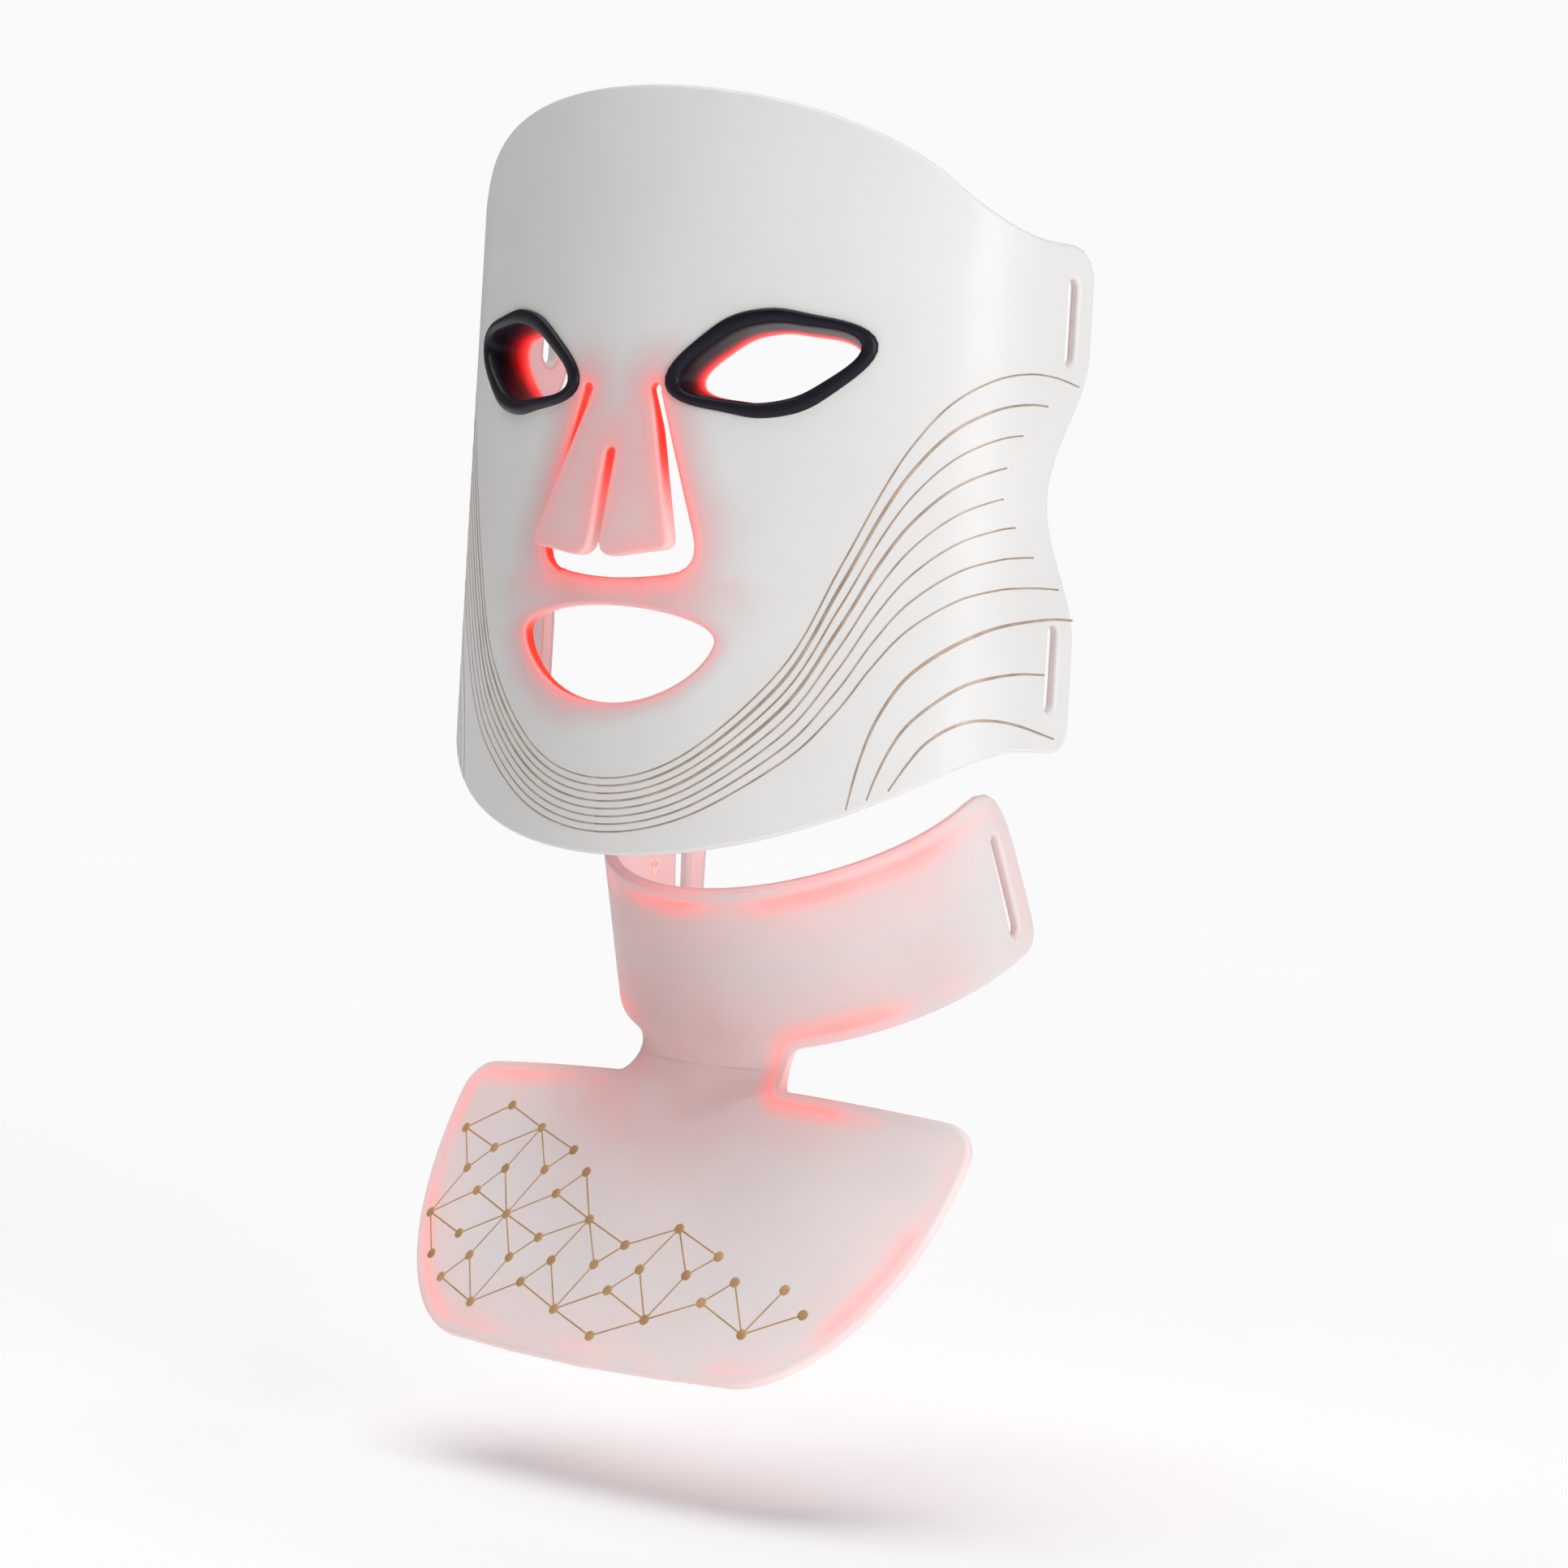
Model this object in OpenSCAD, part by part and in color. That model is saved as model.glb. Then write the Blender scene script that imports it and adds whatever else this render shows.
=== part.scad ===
// LED face mask with a separate neck and chest panel, both of soft layered silicone.
// Frame: X to the wearer's left, -Y to the front, +Z up. The origin is the middle of
// the wearer's head, at eye level and in the plane of the ears.
// A panel's flat pattern has u across (measured along its outer surface from the middle)
// and z up the mask or w down the bib. Depth d is measured inwards from the outer surface.

/* [Face mask] */
// Radius of the front of the mask, at its outer surface
front_r = 110; // [104:1:116]
// Radius of the bend from the front into each wing
corner_r = 30; // [26:1:34]
// Distance from the ear plane to the front of the mask
front_y = 93; // [86:1:100]
// Height of the forehead edge above the eyes
forehead_h = 59.6; // [57:0.2:62]
// Depth of the chin edge below the eyes
chin_h = 127.5; // [124:0.5:131]
// Half of the flat width, out to the rear edge of a wing
half_flat = 131; // [128:1:134]

/* [Openings] */
// Turn of each eye opening away from straight ahead, in degrees
eye_turn = 21; // [18:1:24]
// Half width of the mouth opening
mouth_w = 31; // [28:1:33]
// Width of the slits around the nose flap
slit_w = 2.6; // [2:0.1:3]
// Forward lean of the nose flap, in degrees
flap_lean = 11; // [6:1:13]
// Length of a strap slot in a wing, end to end
slot_l = 21; // [16:1:22]
// Width of a strap slot
slot_w = 4; // [3:0.5:5]

/* [Neck and chest panel] */
// Radius of the collar's top edge
collar_r = 52; // [48:1:56]
// Height of the collar band
collar_h = 42.5; // [38:0.5:46]
// Lean of the collar's axis towards the front, in degrees
collar_lean = 27; // [22:1:30]
// Flare of the collar towards its lower edge, in degrees
collar_flare = 8.5; // [6:0.5:10]
// Slope of the bib down the chest, in degrees
bib_slope = 31; // [26:1:34]
// Radius of the bib across the chest
bib_r = 450; // [350:10:600]

/* [Layers] */
// Thickness of the outer cover
cover_t = 1.2; // [1:0.1:1.3]
// Thickness of a flexible circuit
circuit_t = 0.3; // [0.2:0.05:0.3]
// Height of one LED package
led_h = 0.7; // [0.5:0.05:0.7]
// Thickness of the inner cover
lining_t = 0.8; // [0.7:0.05:0.8]

/* [Hidden] */
$fn = 180;

// Layer depths
gap = 0.1;
circuit_d = cover_t + gap;
led_d = circuit_d + circuit_t + gap / 2;
lining_d = led_d + led_h + gap / 2;
panel_t = lining_d + lining_t;
rim_w = 1.6;
lining_inset = rim_w + gap;
circuit_inset = 4;
led_inset = 8;
past = 1;

// Plan curve of the mask: front arc, corner arc, straight side
bend = 45;
front_c = front_r - front_y;
front_u = front_r * bend * PI / 180;
corner_x = (front_r - corner_r) * sin(bend);
corner_y = front_c - (front_r - corner_r) * cos(bend);
side_u = front_u + corner_r * (90 - bend) * PI / 180;
side_l = half_flat - side_u;
flex_gap = 1.4;
reach = 140;

// Outline of the mask
forehead_half = 95;
forehead_rise = 40.6;
brow_u = 84;
tab_u = 113;
tab_drop = 32.9;
tab_top = forehead_h - tab_drop;
tab_r = 9;
jaw_u = 84;
jaw_rise = 0.0031;
heel_u = 110;
heel_rise = 31;
heel_z = -chin_h + heel_rise;
heel_r = 6;
ear_z = -35;
ear_half = 36;
ear_dip = 14;

// Places on the mask
eye_u = 40.7;
eye_z = -7.2;
eye_tilt = 16;
eye_half_l = 27;
eye_half_h = 13.5;
eye_hole_inset = 2;
gasket_w = 4;
gasket_proud = 1.2;
gasket_deep = 10.5;
mouth_z = -74.3;
mouth_up = 7.5;
mouth_down = 16.2;
flap_top = -13;
flap_bottom = -55;
flap_top_half = 9.6;
flap_bottom_half = 21.6;
flap_slit_top = -30;
nose_drop = 4.5;
slot_u = 122.5;
slot_z = [8, -76];

// Collar and bib
collar_at = [0, -14, -113];
collar_fold = 58;
collar_end = 113;
collar_end_lean = 20;
collar_end_r = 7;
collar_top_r = 12;
collar_end_mid = 12;
collar_fold_gap = 1.6;
bib_at = [0, -50, -188];
waist_half = 25;
bib_neck_w = -11;
bib_top_w = -5;
bib_half = 84;
bib_corner_r = 9;
bib_side_w = 5;
bib_side_bend = 1.1;
bib_low_half = 44;
bib_low_flat = 24;
bib_bottom_w = 75.4;
bib_bottom_bow = 0.8;
bib_low_r = 2.4;
collar_slot_l = 25;
collar_slot_at = [6.5, -23.7];
collar_slot_lean = 14;

// LED packages
red_size = 3;
infrared_size = 2.2;
led_pitch = 17;
chip_size = 5;
chip_up = 7.5;
mask_chip_u = [-72, -64.5, -57];
bib_chip_u = [-14, 0, 14];

// ---- Outline of the mask, as functions of u and z ----

function deg(a) = a * 180 / PI;

function top_z(u) =
    let (a = abs(u))
    a < brow_u ? forehead_h - forehead_rise * (1 - sqrt(1 - pow(a / forehead_half, 2)))
    : a < tab_u ? tab_top + (brow_top() - tab_top) * pow((tab_u - a) / (tab_u - brow_u), 2)
    : tab_top;

function brow_top() =
    forehead_h - forehead_rise * (1 - sqrt(1 - pow(brow_u / forehead_half, 2)));

function bottom_z(u) =
    let (a = abs(u), jaw_z = -chin_h + jaw_rise * jaw_u * jaw_u)
    a < jaw_u ? -chin_h + jaw_rise * a * a
    : a < heel_u ? heel_z - (heel_z - jaw_z) * pow((heel_u - a) / (heel_u - jaw_u), 1.5)
    : heel_z;

function rear_u(z) =
    abs(z - ear_z) < ear_half
    ? half_flat - ear_dip * pow(cos(90 * (z - ear_z) / ear_half), 2)
    : half_flat;

// Place across the mask, seen from the front and from the side
function front_x(u) = front_r * sin(deg(u / front_r));
function side_y(u) =
    u < side_u ? corner_y - corner_r * cos(bend + deg((u - front_u) / corner_r))
    : corner_y + u - side_u;

function steps(from, to, count) = [for (i = [0:count]) from + (to - from) * i / count];

// Outline of an eye opening about its own centre: a leaf with blunt corners
function eye_radius(t) =
    31.6 / sqrt(3.86 - 2.05 * cos(2 * t) + 0.6 * sin(2 * t)
    - 0.31 * cos(4 * t) - 0.125 * cos(6 * t));
function eye_point(t, inset) =
    let (along = eye_radius(t) * cos(t) * (1 - inset / eye_half_l),
        across = eye_radius(t) * sin(t) * (1 - inset / eye_half_h))
    [along * cos(eye_tilt) - across * sin(eye_tilt), along * sin(eye_tilt) + across * cos(eye_tilt)];
function eye_outline(inset) =
    [for (t = [0:7.5:352.5])
        let (p = eye_point(t, inset))
        [front_r * sin(deg((p.x + eye_u) / front_r) - eye_turn), p.y + eye_z]];

function mouth_outline(grow) =
    [for (t = [0:7.5:352.5])
        [(mouth_w + grow) * cos(t), mouth_z + (t < 180 ? (mouth_up + grow) * sin(t)
            : -(mouth_down + grow) * pow(-sin(t), 1.3))]];

// ---- Shapes cut from the walls ----

module ring(outer_r, inner_r) {
    difference() {
        circle(outer_r);
        circle(inner_r);
    }
}

module sector(from, to, r) {
    polygon(concat([[0, 0]], [for (a = steps(from, to, 6)) r * 1.3 * [sin(a), -cos(a)]]));
}

// Curved wall of the face, between two depths
module front_wall(d0, d1) {
    half = bend - deg(flex_gap / 2 / front_r);
    translate([0, front_c, -reach]) linear_extrude(2 * reach) intersection() {
        ring(front_r - d0, front_r - d1);
        sector(-half, half, front_r);
    }
}

// Wall of the left wing: the corner and the straight side
module wing_wall(d0, d1) {
    translate([0, 0, -reach]) linear_extrude(2 * reach) {
        translate([corner_x, corner_y]) intersection() {
            ring(corner_r - d0, corner_r - d1);
            sector(bend + deg(flex_gap / 2 / corner_r), 90, corner_r);
        }
        translate([corner_x + corner_r - d1, corner_y]) square([d1 - d0, side_l + past]);
    }
}

// Extrudes an x-z outline from front to back, through the front of the mask
module through_front(y0 = -reach, y1 = 0) {
    translate([0, y1, 0]) rotate([90, 0, 0]) linear_extrude(y1 - y0) children();
}

// Extrudes a y-z outline along +X
module through_side() {
    rotate([90, 0, 90]) linear_extrude(reach) children();
}

module face_outline(inset) {
    half = front_u - (inset > 0 ? inset : -past);
    us = steps(-half, half, 30);
    through_front() polygon(concat(
        [for (u = us) [front_x(u), top_z(u) - inset]],
        [for (i = [30:-1:0]) [front_x(us[i]), bottom_z(us[i]) + inset]]));
}

module wing_outline(inset) {
    first = front_u - (inset > 0 ? -inset : past);
    top_r = tab_r - inset / 2;
    low_r = heel_r - inset / 2;
    last = half_flat - inset;
    top = tab_top - inset;
    low = heel_z + inset;
    through_side() polygon(concat(
        [for (u = steps(first, last - top_r - 1, 12)) [side_y(u), top_z(u) - inset]],
        [for (a = steps(90, 0, 6)) [side_y(last - top_r + top_r * cos(a)), top - top_r * (1 - sin(a))]],
        [for (z = steps(ear_z + ear_half, ear_z - ear_half, 16)) [side_y(rear_u(z) - inset), z]],
        [for (a = steps(0, -90, 5)) [side_y(last - low_r + low_r * cos(a)), low + low_r * (1 + sin(a))]],
        [for (u = steps(last - low_r - 1, first, 12)) [side_y(u), bottom_z(u) + inset]]));
}

module eye_prism(inset, side = 1) {
    mirror([side < 0 ? 1 : 0, 0, 0])
        translate([0, front_c, 0]) rotate([0, 0, eye_turn]) translate([0, -front_c, 0])
        through_front(-reach, -front_y / 2) polygon(eye_outline(inset));
}

module mouth_prism(grow) {
    through_front() polygon(mouth_outline(grow));
}

// Opening behind the nose flap, wider than the flap by its slits
module nose_prism(grow) {
    out = slit_w + grow;
    top = flap_top_half + out;
    low = flap_bottom_half + out;
    through_front() polygon([
        [-top, flap_top + grow], [-low, flap_bottom + 4], [-low + 2.5, flap_bottom - 1.5 - grow],
        [-low / 2, flap_bottom - nose_drop + 0.7 - grow], [0, flap_bottom - nose_drop - grow],
        [low / 2, flap_bottom - nose_drop + 0.7 - grow],
        [low - 2.5, flap_bottom - 1.5 - grow], [low, flap_bottom + 4], [top, flap_top + grow]]);
}

// The flap: two lobes that part along the middle slit
module flap_outline(inset) {
    top = flap_top - slit_w / 2 - inset;
    low = flap_bottom + inset;
    split = slit_w / 2 + inset;
    through_front() polygon([
        [-flap_top_half + inset, top], [-flap_bottom_half + inset, low + 5],
        [-flap_bottom_half + inset + 2, low + 2], [-split - 3, low], [-split, low + 3],
        [-split, flap_slit_top + inset], [0, flap_slit_top + inset + slit_w / 2],
        [split, flap_slit_top + inset], [split, low + 3], [split + 3, low],
        [flap_bottom_half - inset - 2, low + 2], [flap_bottom_half - inset, low + 5],
        [flap_top_half - inset, top]]);
}

module face_holes(grow) {
    eye_prism(eye_hole_inset - grow);
    eye_prism(eye_hole_inset - grow, -1);
    mouth_prism(grow);
    nose_prism(grow);
}

// Leans the flap forwards about its root
module leaned_flap() {
    root = [0, -front_y + panel_t / 2, flap_top];
    translate(root) rotate([-flap_lean, 0, 0]) translate(-root) children();
}

// A slot with round ends, in a y-z outline
module slot_shape(length, width) {
    straight = length - width;
    translate([-width / 2, -straight / 2]) square([width, straight]);
    for (s = [-1, 1]) translate([0, s * straight / 2]) circle(width / 2, $fn = 48);
}

module wing_slots(grow) {
    through_side() for (z = slot_z)
        translate([side_y(slot_u), z]) slot_shape(slot_l + 2 * grow, slot_w + 2 * grow);
}

// ---- Collar: a cone about a leaning axis, in its own frame ----

module on_collar() {
    translate(collar_at) rotate([collar_lean, 0, 0]) children();
}

module cone_wall(d0, d1, from, to, top_w = 0, low_w = 0) {
    spread = tan(collar_flare);
    slant = 1 / cos(collar_flare);
    top = -top_w;
    low = -collar_h + low_w;
    rotate([0, 0, from - 90]) rotate_extrude(angle = to - from) polygon([
        [collar_r - top * spread - d0 * slant, top], [collar_r - low * spread - d0 * slant, low],
        [collar_r - low * spread - d1 * slant, low], [collar_r - top * spread - d1 * slant, top]]);
}

// Side outline of a collar wing, as y down the axis, with its slanting end
module collar_wing_outline(inset) {
    mid_r = collar_r + collar_end_mid * tan(collar_flare);
    end_y = -mid_r * cos(collar_end) - inset / cos(collar_end_lean);
    fall = tan(collar_end_lean);
    low = -collar_h + inset;
    low_y = end_y + (low + collar_end_mid) * fall;
    top_y = end_y + collar_end_mid * fall / 3;
    through_side() polygon(concat(
        [[-collar_r * 1.2, -inset], [-collar_r * 1.2, low]],
        [for (a = steps(-90, -collar_end_lean, 5))
            [low_y - collar_end_r * (0.6 - cos(a)), low + collar_end_r * (1 + sin(a))]],
        [for (a = steps(-collar_end_lean, 90, 6))
            [top_y - collar_top_r * (1 - cos(a)), -inset - collar_top_r * (1 - sin(a))]]));
}

module collar_slot(grow) {
    through_side() translate(collar_slot_at) rotate(-collar_slot_lean)
        slot_shape(collar_slot_l + 2 * grow, slot_w + 2 * grow);
}

// ---- Bib: a shallow arc that slopes down the chest, in its own frame ----

module on_bib() {
    translate(bib_at) rotate([-bib_slope, 0, 0]) children();
}

module bib_wall(d0, d1) {
    translate([0, bib_r, -reach]) linear_extrude(2 * reach) intersection() {
        ring(bib_r - d0, bib_r - d1);
        sector(-15, 15, bib_r);
    }
}

// Half outline of the bib from the waist round to the bottom, as [u, w]
function bib_half_outline(inset) = concat(
    [[waist_half - inset, bib_neck_w + inset], [waist_half - inset, bib_top_w - 3 + inset],
        [waist_half + 3 - inset, bib_top_w + inset]],
    [for (a = steps(90, 0, 6))
        [bib_half - bib_corner_r + (bib_corner_r - inset) * cos(a),
            bib_top_w + bib_corner_r - (bib_corner_r - inset) * sin(a)]],
    [for (a = steps(0, 86, 13))
        [bib_low_half - inset + (bib_half - bib_low_half) * pow(cos(a), bib_side_bend),
            bib_side_w + (bib_bottom_w - bib_low_r - bib_side_w - inset) * sin(a)]],
    [[bib_low_flat, bib_bottom_w - bib_bottom_bow - inset]]);

module bib_outline(inset) {
    half = bib_half_outline(inset);
    last = len(half) - 1;
    through_front(-50, 50) polygon(concat(
        [for (p = half) [p.x, -p.y]],
        [[0, -bib_bottom_w + inset]],
        [for (i = [last:-1:0]) [-half[i].x, -half[i].y]]));
}

// ---- LED packages and chips ----

// One package on the circuit, at depth led_d on an arc
module package_on_arc(u, z, r, centre_y, size) {
    translate([0, centre_y, z]) rotate([0, 0, deg(u / r)])
        translate([-size / 2, -r + led_d, -size / 2]) cube([size, led_h - 0.05, size]);
}

function clear_of_holes(u, z) =
    pow((abs(u) - eye_u) / 36, 2) + pow((z - eye_z) / 23, 2) > 1
    && pow(u / (mouth_w + 9), 2) + pow((z - mouth_z + 4) / 22, 2) > 1
    && !(abs(u) < flap_bottom_half + 9 && z < flap_top + 7 && z > flap_bottom - 11);

function on_face(u, z) =
    abs(u) < front_u - led_inset && z < top_z(u) - led_inset && z > bottom_z(u) + led_inset
    && clear_of_holes(u, z);

function on_wing(u, z) =
    u > front_u + 6 && u < rear_u(z) - led_inset && z < top_z(u) - led_inset
    && z > bottom_z(u) + led_inset
    && min([for (s = slot_z) max(abs(u - slot_u) - slot_w, abs(z - s) - slot_l / 2)]) > 4;

// Rows of the mask's grid, shifted by half a pitch for the infrared packages
function mask_rows(shift) =
    [for (z = [-119 + shift:led_pitch:forehead_h]) z];

module face_leds(size, shift) {
    for (z = mask_rows(shift), u = [-4.5 * led_pitch + shift:led_pitch:4.6 * led_pitch])
        if (on_face(u, z)) package_on_arc(u, z, front_r, front_c, size);
}

module wing_leds(size, shift) {
    for (z = mask_rows(shift), u = [side_u - 12 + shift / 2:12:half_flat])
        if (on_wing(u, z))
            if (u < side_u)
                translate([corner_x, corner_y, z]) rotate([0, 0, bend + deg((u - front_u) / corner_r)])
                    translate([-size / 2, -corner_r + led_d, -size / 2])
                    cube([size, led_h - 0.05, size]);
            else
                translate([corner_x + corner_r - led_d - led_h + 0.05, side_y(u) - size / 2, z - size / 2])
                    cube([led_h - 0.05, size, size]);
}

module cone_leds(size, from, to, count, rows) {
    for (v = rows, a = steps(from, to, count))
        rotate([0, 0, a]) translate([0, -collar_r - v * tan(collar_flare), -v])
            rotate([-collar_flare, 0, 0]) translate([-size / 2, led_d, -size / 2])
            cube([size, led_h - 0.05, size]);
}

module bib_leds(size, shift) {
    for (w = [8 + shift:15:62], u = [-72 + shift:16:73])
        if (abs(u) < bib_half - 10 - 0.45 * max(0, w - 20)) package_on_arc(u, -w, bib_r, bib_r, size);
}

// ---- Power inlet, hanging on the inner cover and open at its foot ----

inlet_w = 14;
inlet_h = 12;
inlet_d = 6;
port_w = 9;
port_t = 3.2;
port_wall = 0.35;
port_h = 7.5;
tongue_t = 0.7;
tongue_side = 1.6;
tongue_end = 1.2;
mask_inlet_u = -58;
bib_inlet_u = -38;

module port_shape(w, t, h) {
    translate([0, 0, -h]) linear_extrude(h) {
        square([w - t, t], center = true);
        for (s = [-1, 1]) translate([s * (w - t) / 2, 0]) circle(t / 2, $fn = 48);
    }
}

module inlet_boot() {
    color("white") difference() {
        translate([-inlet_w / 2, 0, 0]) cube([inlet_w, inlet_d, inlet_h]);
        translate([0, inlet_d / 2, port_h + gap]) port_shape(port_w + 2 * gap, port_t + 2 * gap, port_h + 2);
    }
}

module inlet_shell() {
    color("silver") translate([0, inlet_d / 2, port_h]) difference() {
        port_shape(port_w, port_t, port_h);
        translate([0, 0, -1]) port_shape(port_w - 2 * port_wall, port_t - 2 * port_wall, port_h);
    }
}

module inlet_tongue() {
    color("dimgray") translate([-port_w / 2 + tongue_side, (inlet_d - tongue_t) / 2, tongue_end])
        cube([port_w - 2 * tongue_side, tongue_t, port_h - tongue_end - 1.1]);
}

// The flat back of a boot clears the curve of the wall behind it
module at_mask_inlet() {
    clear = inlet_w * inlet_w / 8 / front_r + gap;
    translate([0, front_c, 0]) rotate([0, 0, deg(mask_inlet_u / front_r)])
        translate([0, -front_r + panel_t + clear, bottom_z(mask_inlet_u) + rim_w + 1]) children();
}

module at_bib_inlet() {
    on_bib() translate([0, bib_r, 0]) rotate([0, 0, deg(bib_inlet_u / bib_r)])
        translate([0, -bib_r + panel_t + gap, -bib_bottom_w + bib_low_r + 2]) children();
}

// ---- Mask, face ----

cover_colour = [0.93, 0.92, 0.91];
lining_colour = [1, 0.85, 0.84, 0.6];
circuit_colour = [0.95, 0.75, 0.45];
red_colour = [1, 0.35, 0.3];
infrared_colour = [0.6, 0.55, 0.75];
gasket_colour = [0.11, 0.1, 0.14];
chip_colour = [0.2, 0.2, 0.22];

module face_cover() {
    color(cover_colour) difference() {
        intersection() {
            front_wall(0, panel_t);
            face_outline(0);
        }
        face_holes(0);
        difference() {
            intersection() {
                front_wall(cover_t, panel_t + past);
                face_outline(rim_w);
            }
            face_holes(rim_w);
        }
    }
}

module face_layer(d0, d1, inset) {
    difference() {
        intersection() {
            front_wall(d0, d1);
            face_outline(inset);
        }
        face_holes(inset);
    }
}

module face_inner_cover() {
    color(lining_colour) face_layer(lining_d, panel_t, lining_inset);
}

module face_circuit() {
    color(circuit_colour) face_layer(circuit_d, circuit_d + circuit_t, circuit_inset);
}

module face_red_leds() {
    color(red_colour) face_leds(red_size, 0);
}

module face_infrared_leds() {
    color(infrared_colour) face_leds(infrared_size, led_pitch / 2);
}

module face_driver_chips() {
    color(chip_colour) for (u = mask_chip_u)
        package_on_arc(u, bottom_z(u) + chip_up, front_r, front_c, chip_size);
}

module left_eye_gasket() {
    color(gasket_colour) difference() {
        union() {
            intersection() {
                front_wall(-gasket_proud, -gap / 2);
                eye_prism(0);
            }
            intersection() {
                front_wall(-gasket_proud / 2, gasket_deep);
                eye_prism(eye_hole_inset + gap);
            }
            intersection() {
                front_wall(panel_t + gap, panel_t + 1.1);
                eye_prism(0.8);
            }
        }
        eye_prism(gasket_w);
    }
}

module right_eye_gasket() {
    mirror([1, 0, 0]) left_eye_gasket();
}

module mask_inlet_boot() {
    at_mask_inlet() inlet_boot();
}

module mask_inlet_shell() {
    at_mask_inlet() inlet_shell();
}

module mask_inlet_tongue() {
    at_mask_inlet() inlet_tongue();
}

// ---- Mask, wings ----

module left_wing_cover() {
    color(cover_colour) difference() {
        intersection() {
            wing_wall(0, panel_t);
            wing_outline(0);
        }
        wing_slots(0);
        difference() {
            intersection() {
                wing_wall(cover_t, panel_t + past);
                wing_outline(rim_w);
            }
            wing_slots(rim_w);
        }
    }
}

module wing_layer(d0, d1, inset) {
    difference() {
        intersection() {
            wing_wall(d0, d1);
            wing_outline(inset);
        }
        wing_slots(inset);
    }
}

module left_wing_inner_cover() {
    color(lining_colour) wing_layer(lining_d, panel_t, lining_inset);
}

module left_wing_circuit() {
    color(circuit_colour) wing_layer(circuit_d, circuit_d + circuit_t, circuit_inset);
}

module left_wing_red_leds() {
    color(red_colour) wing_leds(red_size, 0);
}

module left_wing_infrared_leds() {
    color(infrared_colour) wing_leds(infrared_size, led_pitch / 2);
}

module right_wing_cover() {
    mirror([1, 0, 0]) left_wing_cover();
}

module right_wing_inner_cover() {
    mirror([1, 0, 0]) left_wing_inner_cover();
}

module right_wing_circuit() {
    mirror([1, 0, 0]) left_wing_circuit();
}

module right_wing_red_leds() {
    mirror([1, 0, 0]) left_wing_red_leds();
}

module right_wing_infrared_leds() {
    mirror([1, 0, 0]) left_wing_infrared_leds();
}

// ---- Mask, nose flap ----

module flap_layer(d0, d1, inset) {
    intersection() {
        front_wall(d0, d1);
        flap_outline(inset);
    }
}

module nose_flap_cover() {
    color(cover_colour) leaned_flap() difference() {
        flap_layer(0, panel_t, 0);
        flap_layer(cover_t, panel_t + past, rim_w);
    }
}

module nose_flap_inner_cover() {
    color(lining_colour) leaned_flap() flap_layer(lining_d, panel_t, lining_inset);
}

module nose_flap_circuit() {
    color(circuit_colour) leaned_flap()
        flap_layer(circuit_d, circuit_d + circuit_t, circuit_inset - 1.5);
}

module nose_flap_red_leds() {
    color(red_colour) leaned_flap() {
        package_on_arc(0, flap_top - 9, front_r, front_c, red_size);
        for (s = [-1, 1], z = [flap_slit_top - 3, flap_slit_top - 15])
            package_on_arc(s * (3.5 - z / 6), z, front_r, front_c, red_size);
    }
}

// ---- Neck and chest panel, collar ----

module collar_layer(d0, d1, inset) {
    turn = collar_fold - deg((collar_fold_gap / 2 + inset) / collar_r);
    on_collar() cone_wall(d0, d1, -turn, turn, inset, inset);
}

module collar_cover() {
    color(cover_colour) difference() {
        collar_layer(0, panel_t, 0);
        collar_layer(cover_t, panel_t + past, rim_w);
    }
}

module collar_inner_cover() {
    color(lining_colour) collar_layer(lining_d, panel_t, lining_inset);
}

module collar_circuit() {
    color(circuit_colour) collar_layer(circuit_d, circuit_d + circuit_t, circuit_inset);
}

module collar_red_leds() {
    color(red_colour) on_collar() cone_leds(red_size, -48, 48, 6, [9, 21, 33]);
}

module collar_infrared_leds() {
    color(infrared_colour) on_collar() cone_leds(infrared_size, -40, 40, 5, [15, 27]);
}

module collar_wing_layer(d0, d1, inset) {
    start = collar_fold + deg((collar_fold_gap / 2 + inset) / collar_r);
    on_collar() difference() {
        intersection() {
            cone_wall(d0, d1, start, 130, -past, -past);
            collar_wing_outline(inset);
        }
        collar_slot(inset);
    }
}

module collar_left_wing_cover() {
    color(cover_colour) difference() {
        collar_wing_layer(0, panel_t, 0);
        collar_wing_layer(cover_t, panel_t + past, rim_w);
    }
}

module collar_left_wing_inner_cover() {
    color(lining_colour) collar_wing_layer(lining_d, panel_t, lining_inset);
}

module collar_left_wing_circuit() {
    color(circuit_colour) collar_wing_layer(circuit_d, circuit_d + circuit_t, circuit_inset);
}

module collar_left_wing_red_leds() {
    color(red_colour) on_collar() cone_leds(red_size, 68, 84, 1, [9, 21, 33]);
}

module collar_right_wing_cover() {
    mirror([1, 0, 0]) collar_left_wing_cover();
}

module collar_right_wing_inner_cover() {
    mirror([1, 0, 0]) collar_left_wing_inner_cover();
}

module collar_right_wing_circuit() {
    mirror([1, 0, 0]) collar_left_wing_circuit();
}

module collar_right_wing_red_leds() {
    mirror([1, 0, 0]) collar_left_wing_red_leds();
}

// ---- Neck and chest panel, bib ----

module bib_layer(d0, d1, inset) {
    on_bib() intersection() {
        bib_wall(d0, d1);
        bib_outline(inset);
    }
}

module bib_cover() {
    color(cover_colour) difference() {
        bib_layer(0, panel_t, 0);
        bib_layer(cover_t, panel_t + past, rim_w);
    }
}

module bib_inner_cover() {
    color(lining_colour) bib_layer(lining_d, panel_t, lining_inset);
}

module bib_circuit() {
    color(circuit_colour) bib_layer(circuit_d, circuit_d + circuit_t, circuit_inset);
}

module bib_red_leds() {
    color(red_colour) on_bib() bib_leds(red_size, 0);
}

module bib_infrared_leds() {
    color(infrared_colour) on_bib() bib_leds(infrared_size, 7.5);
}

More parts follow.
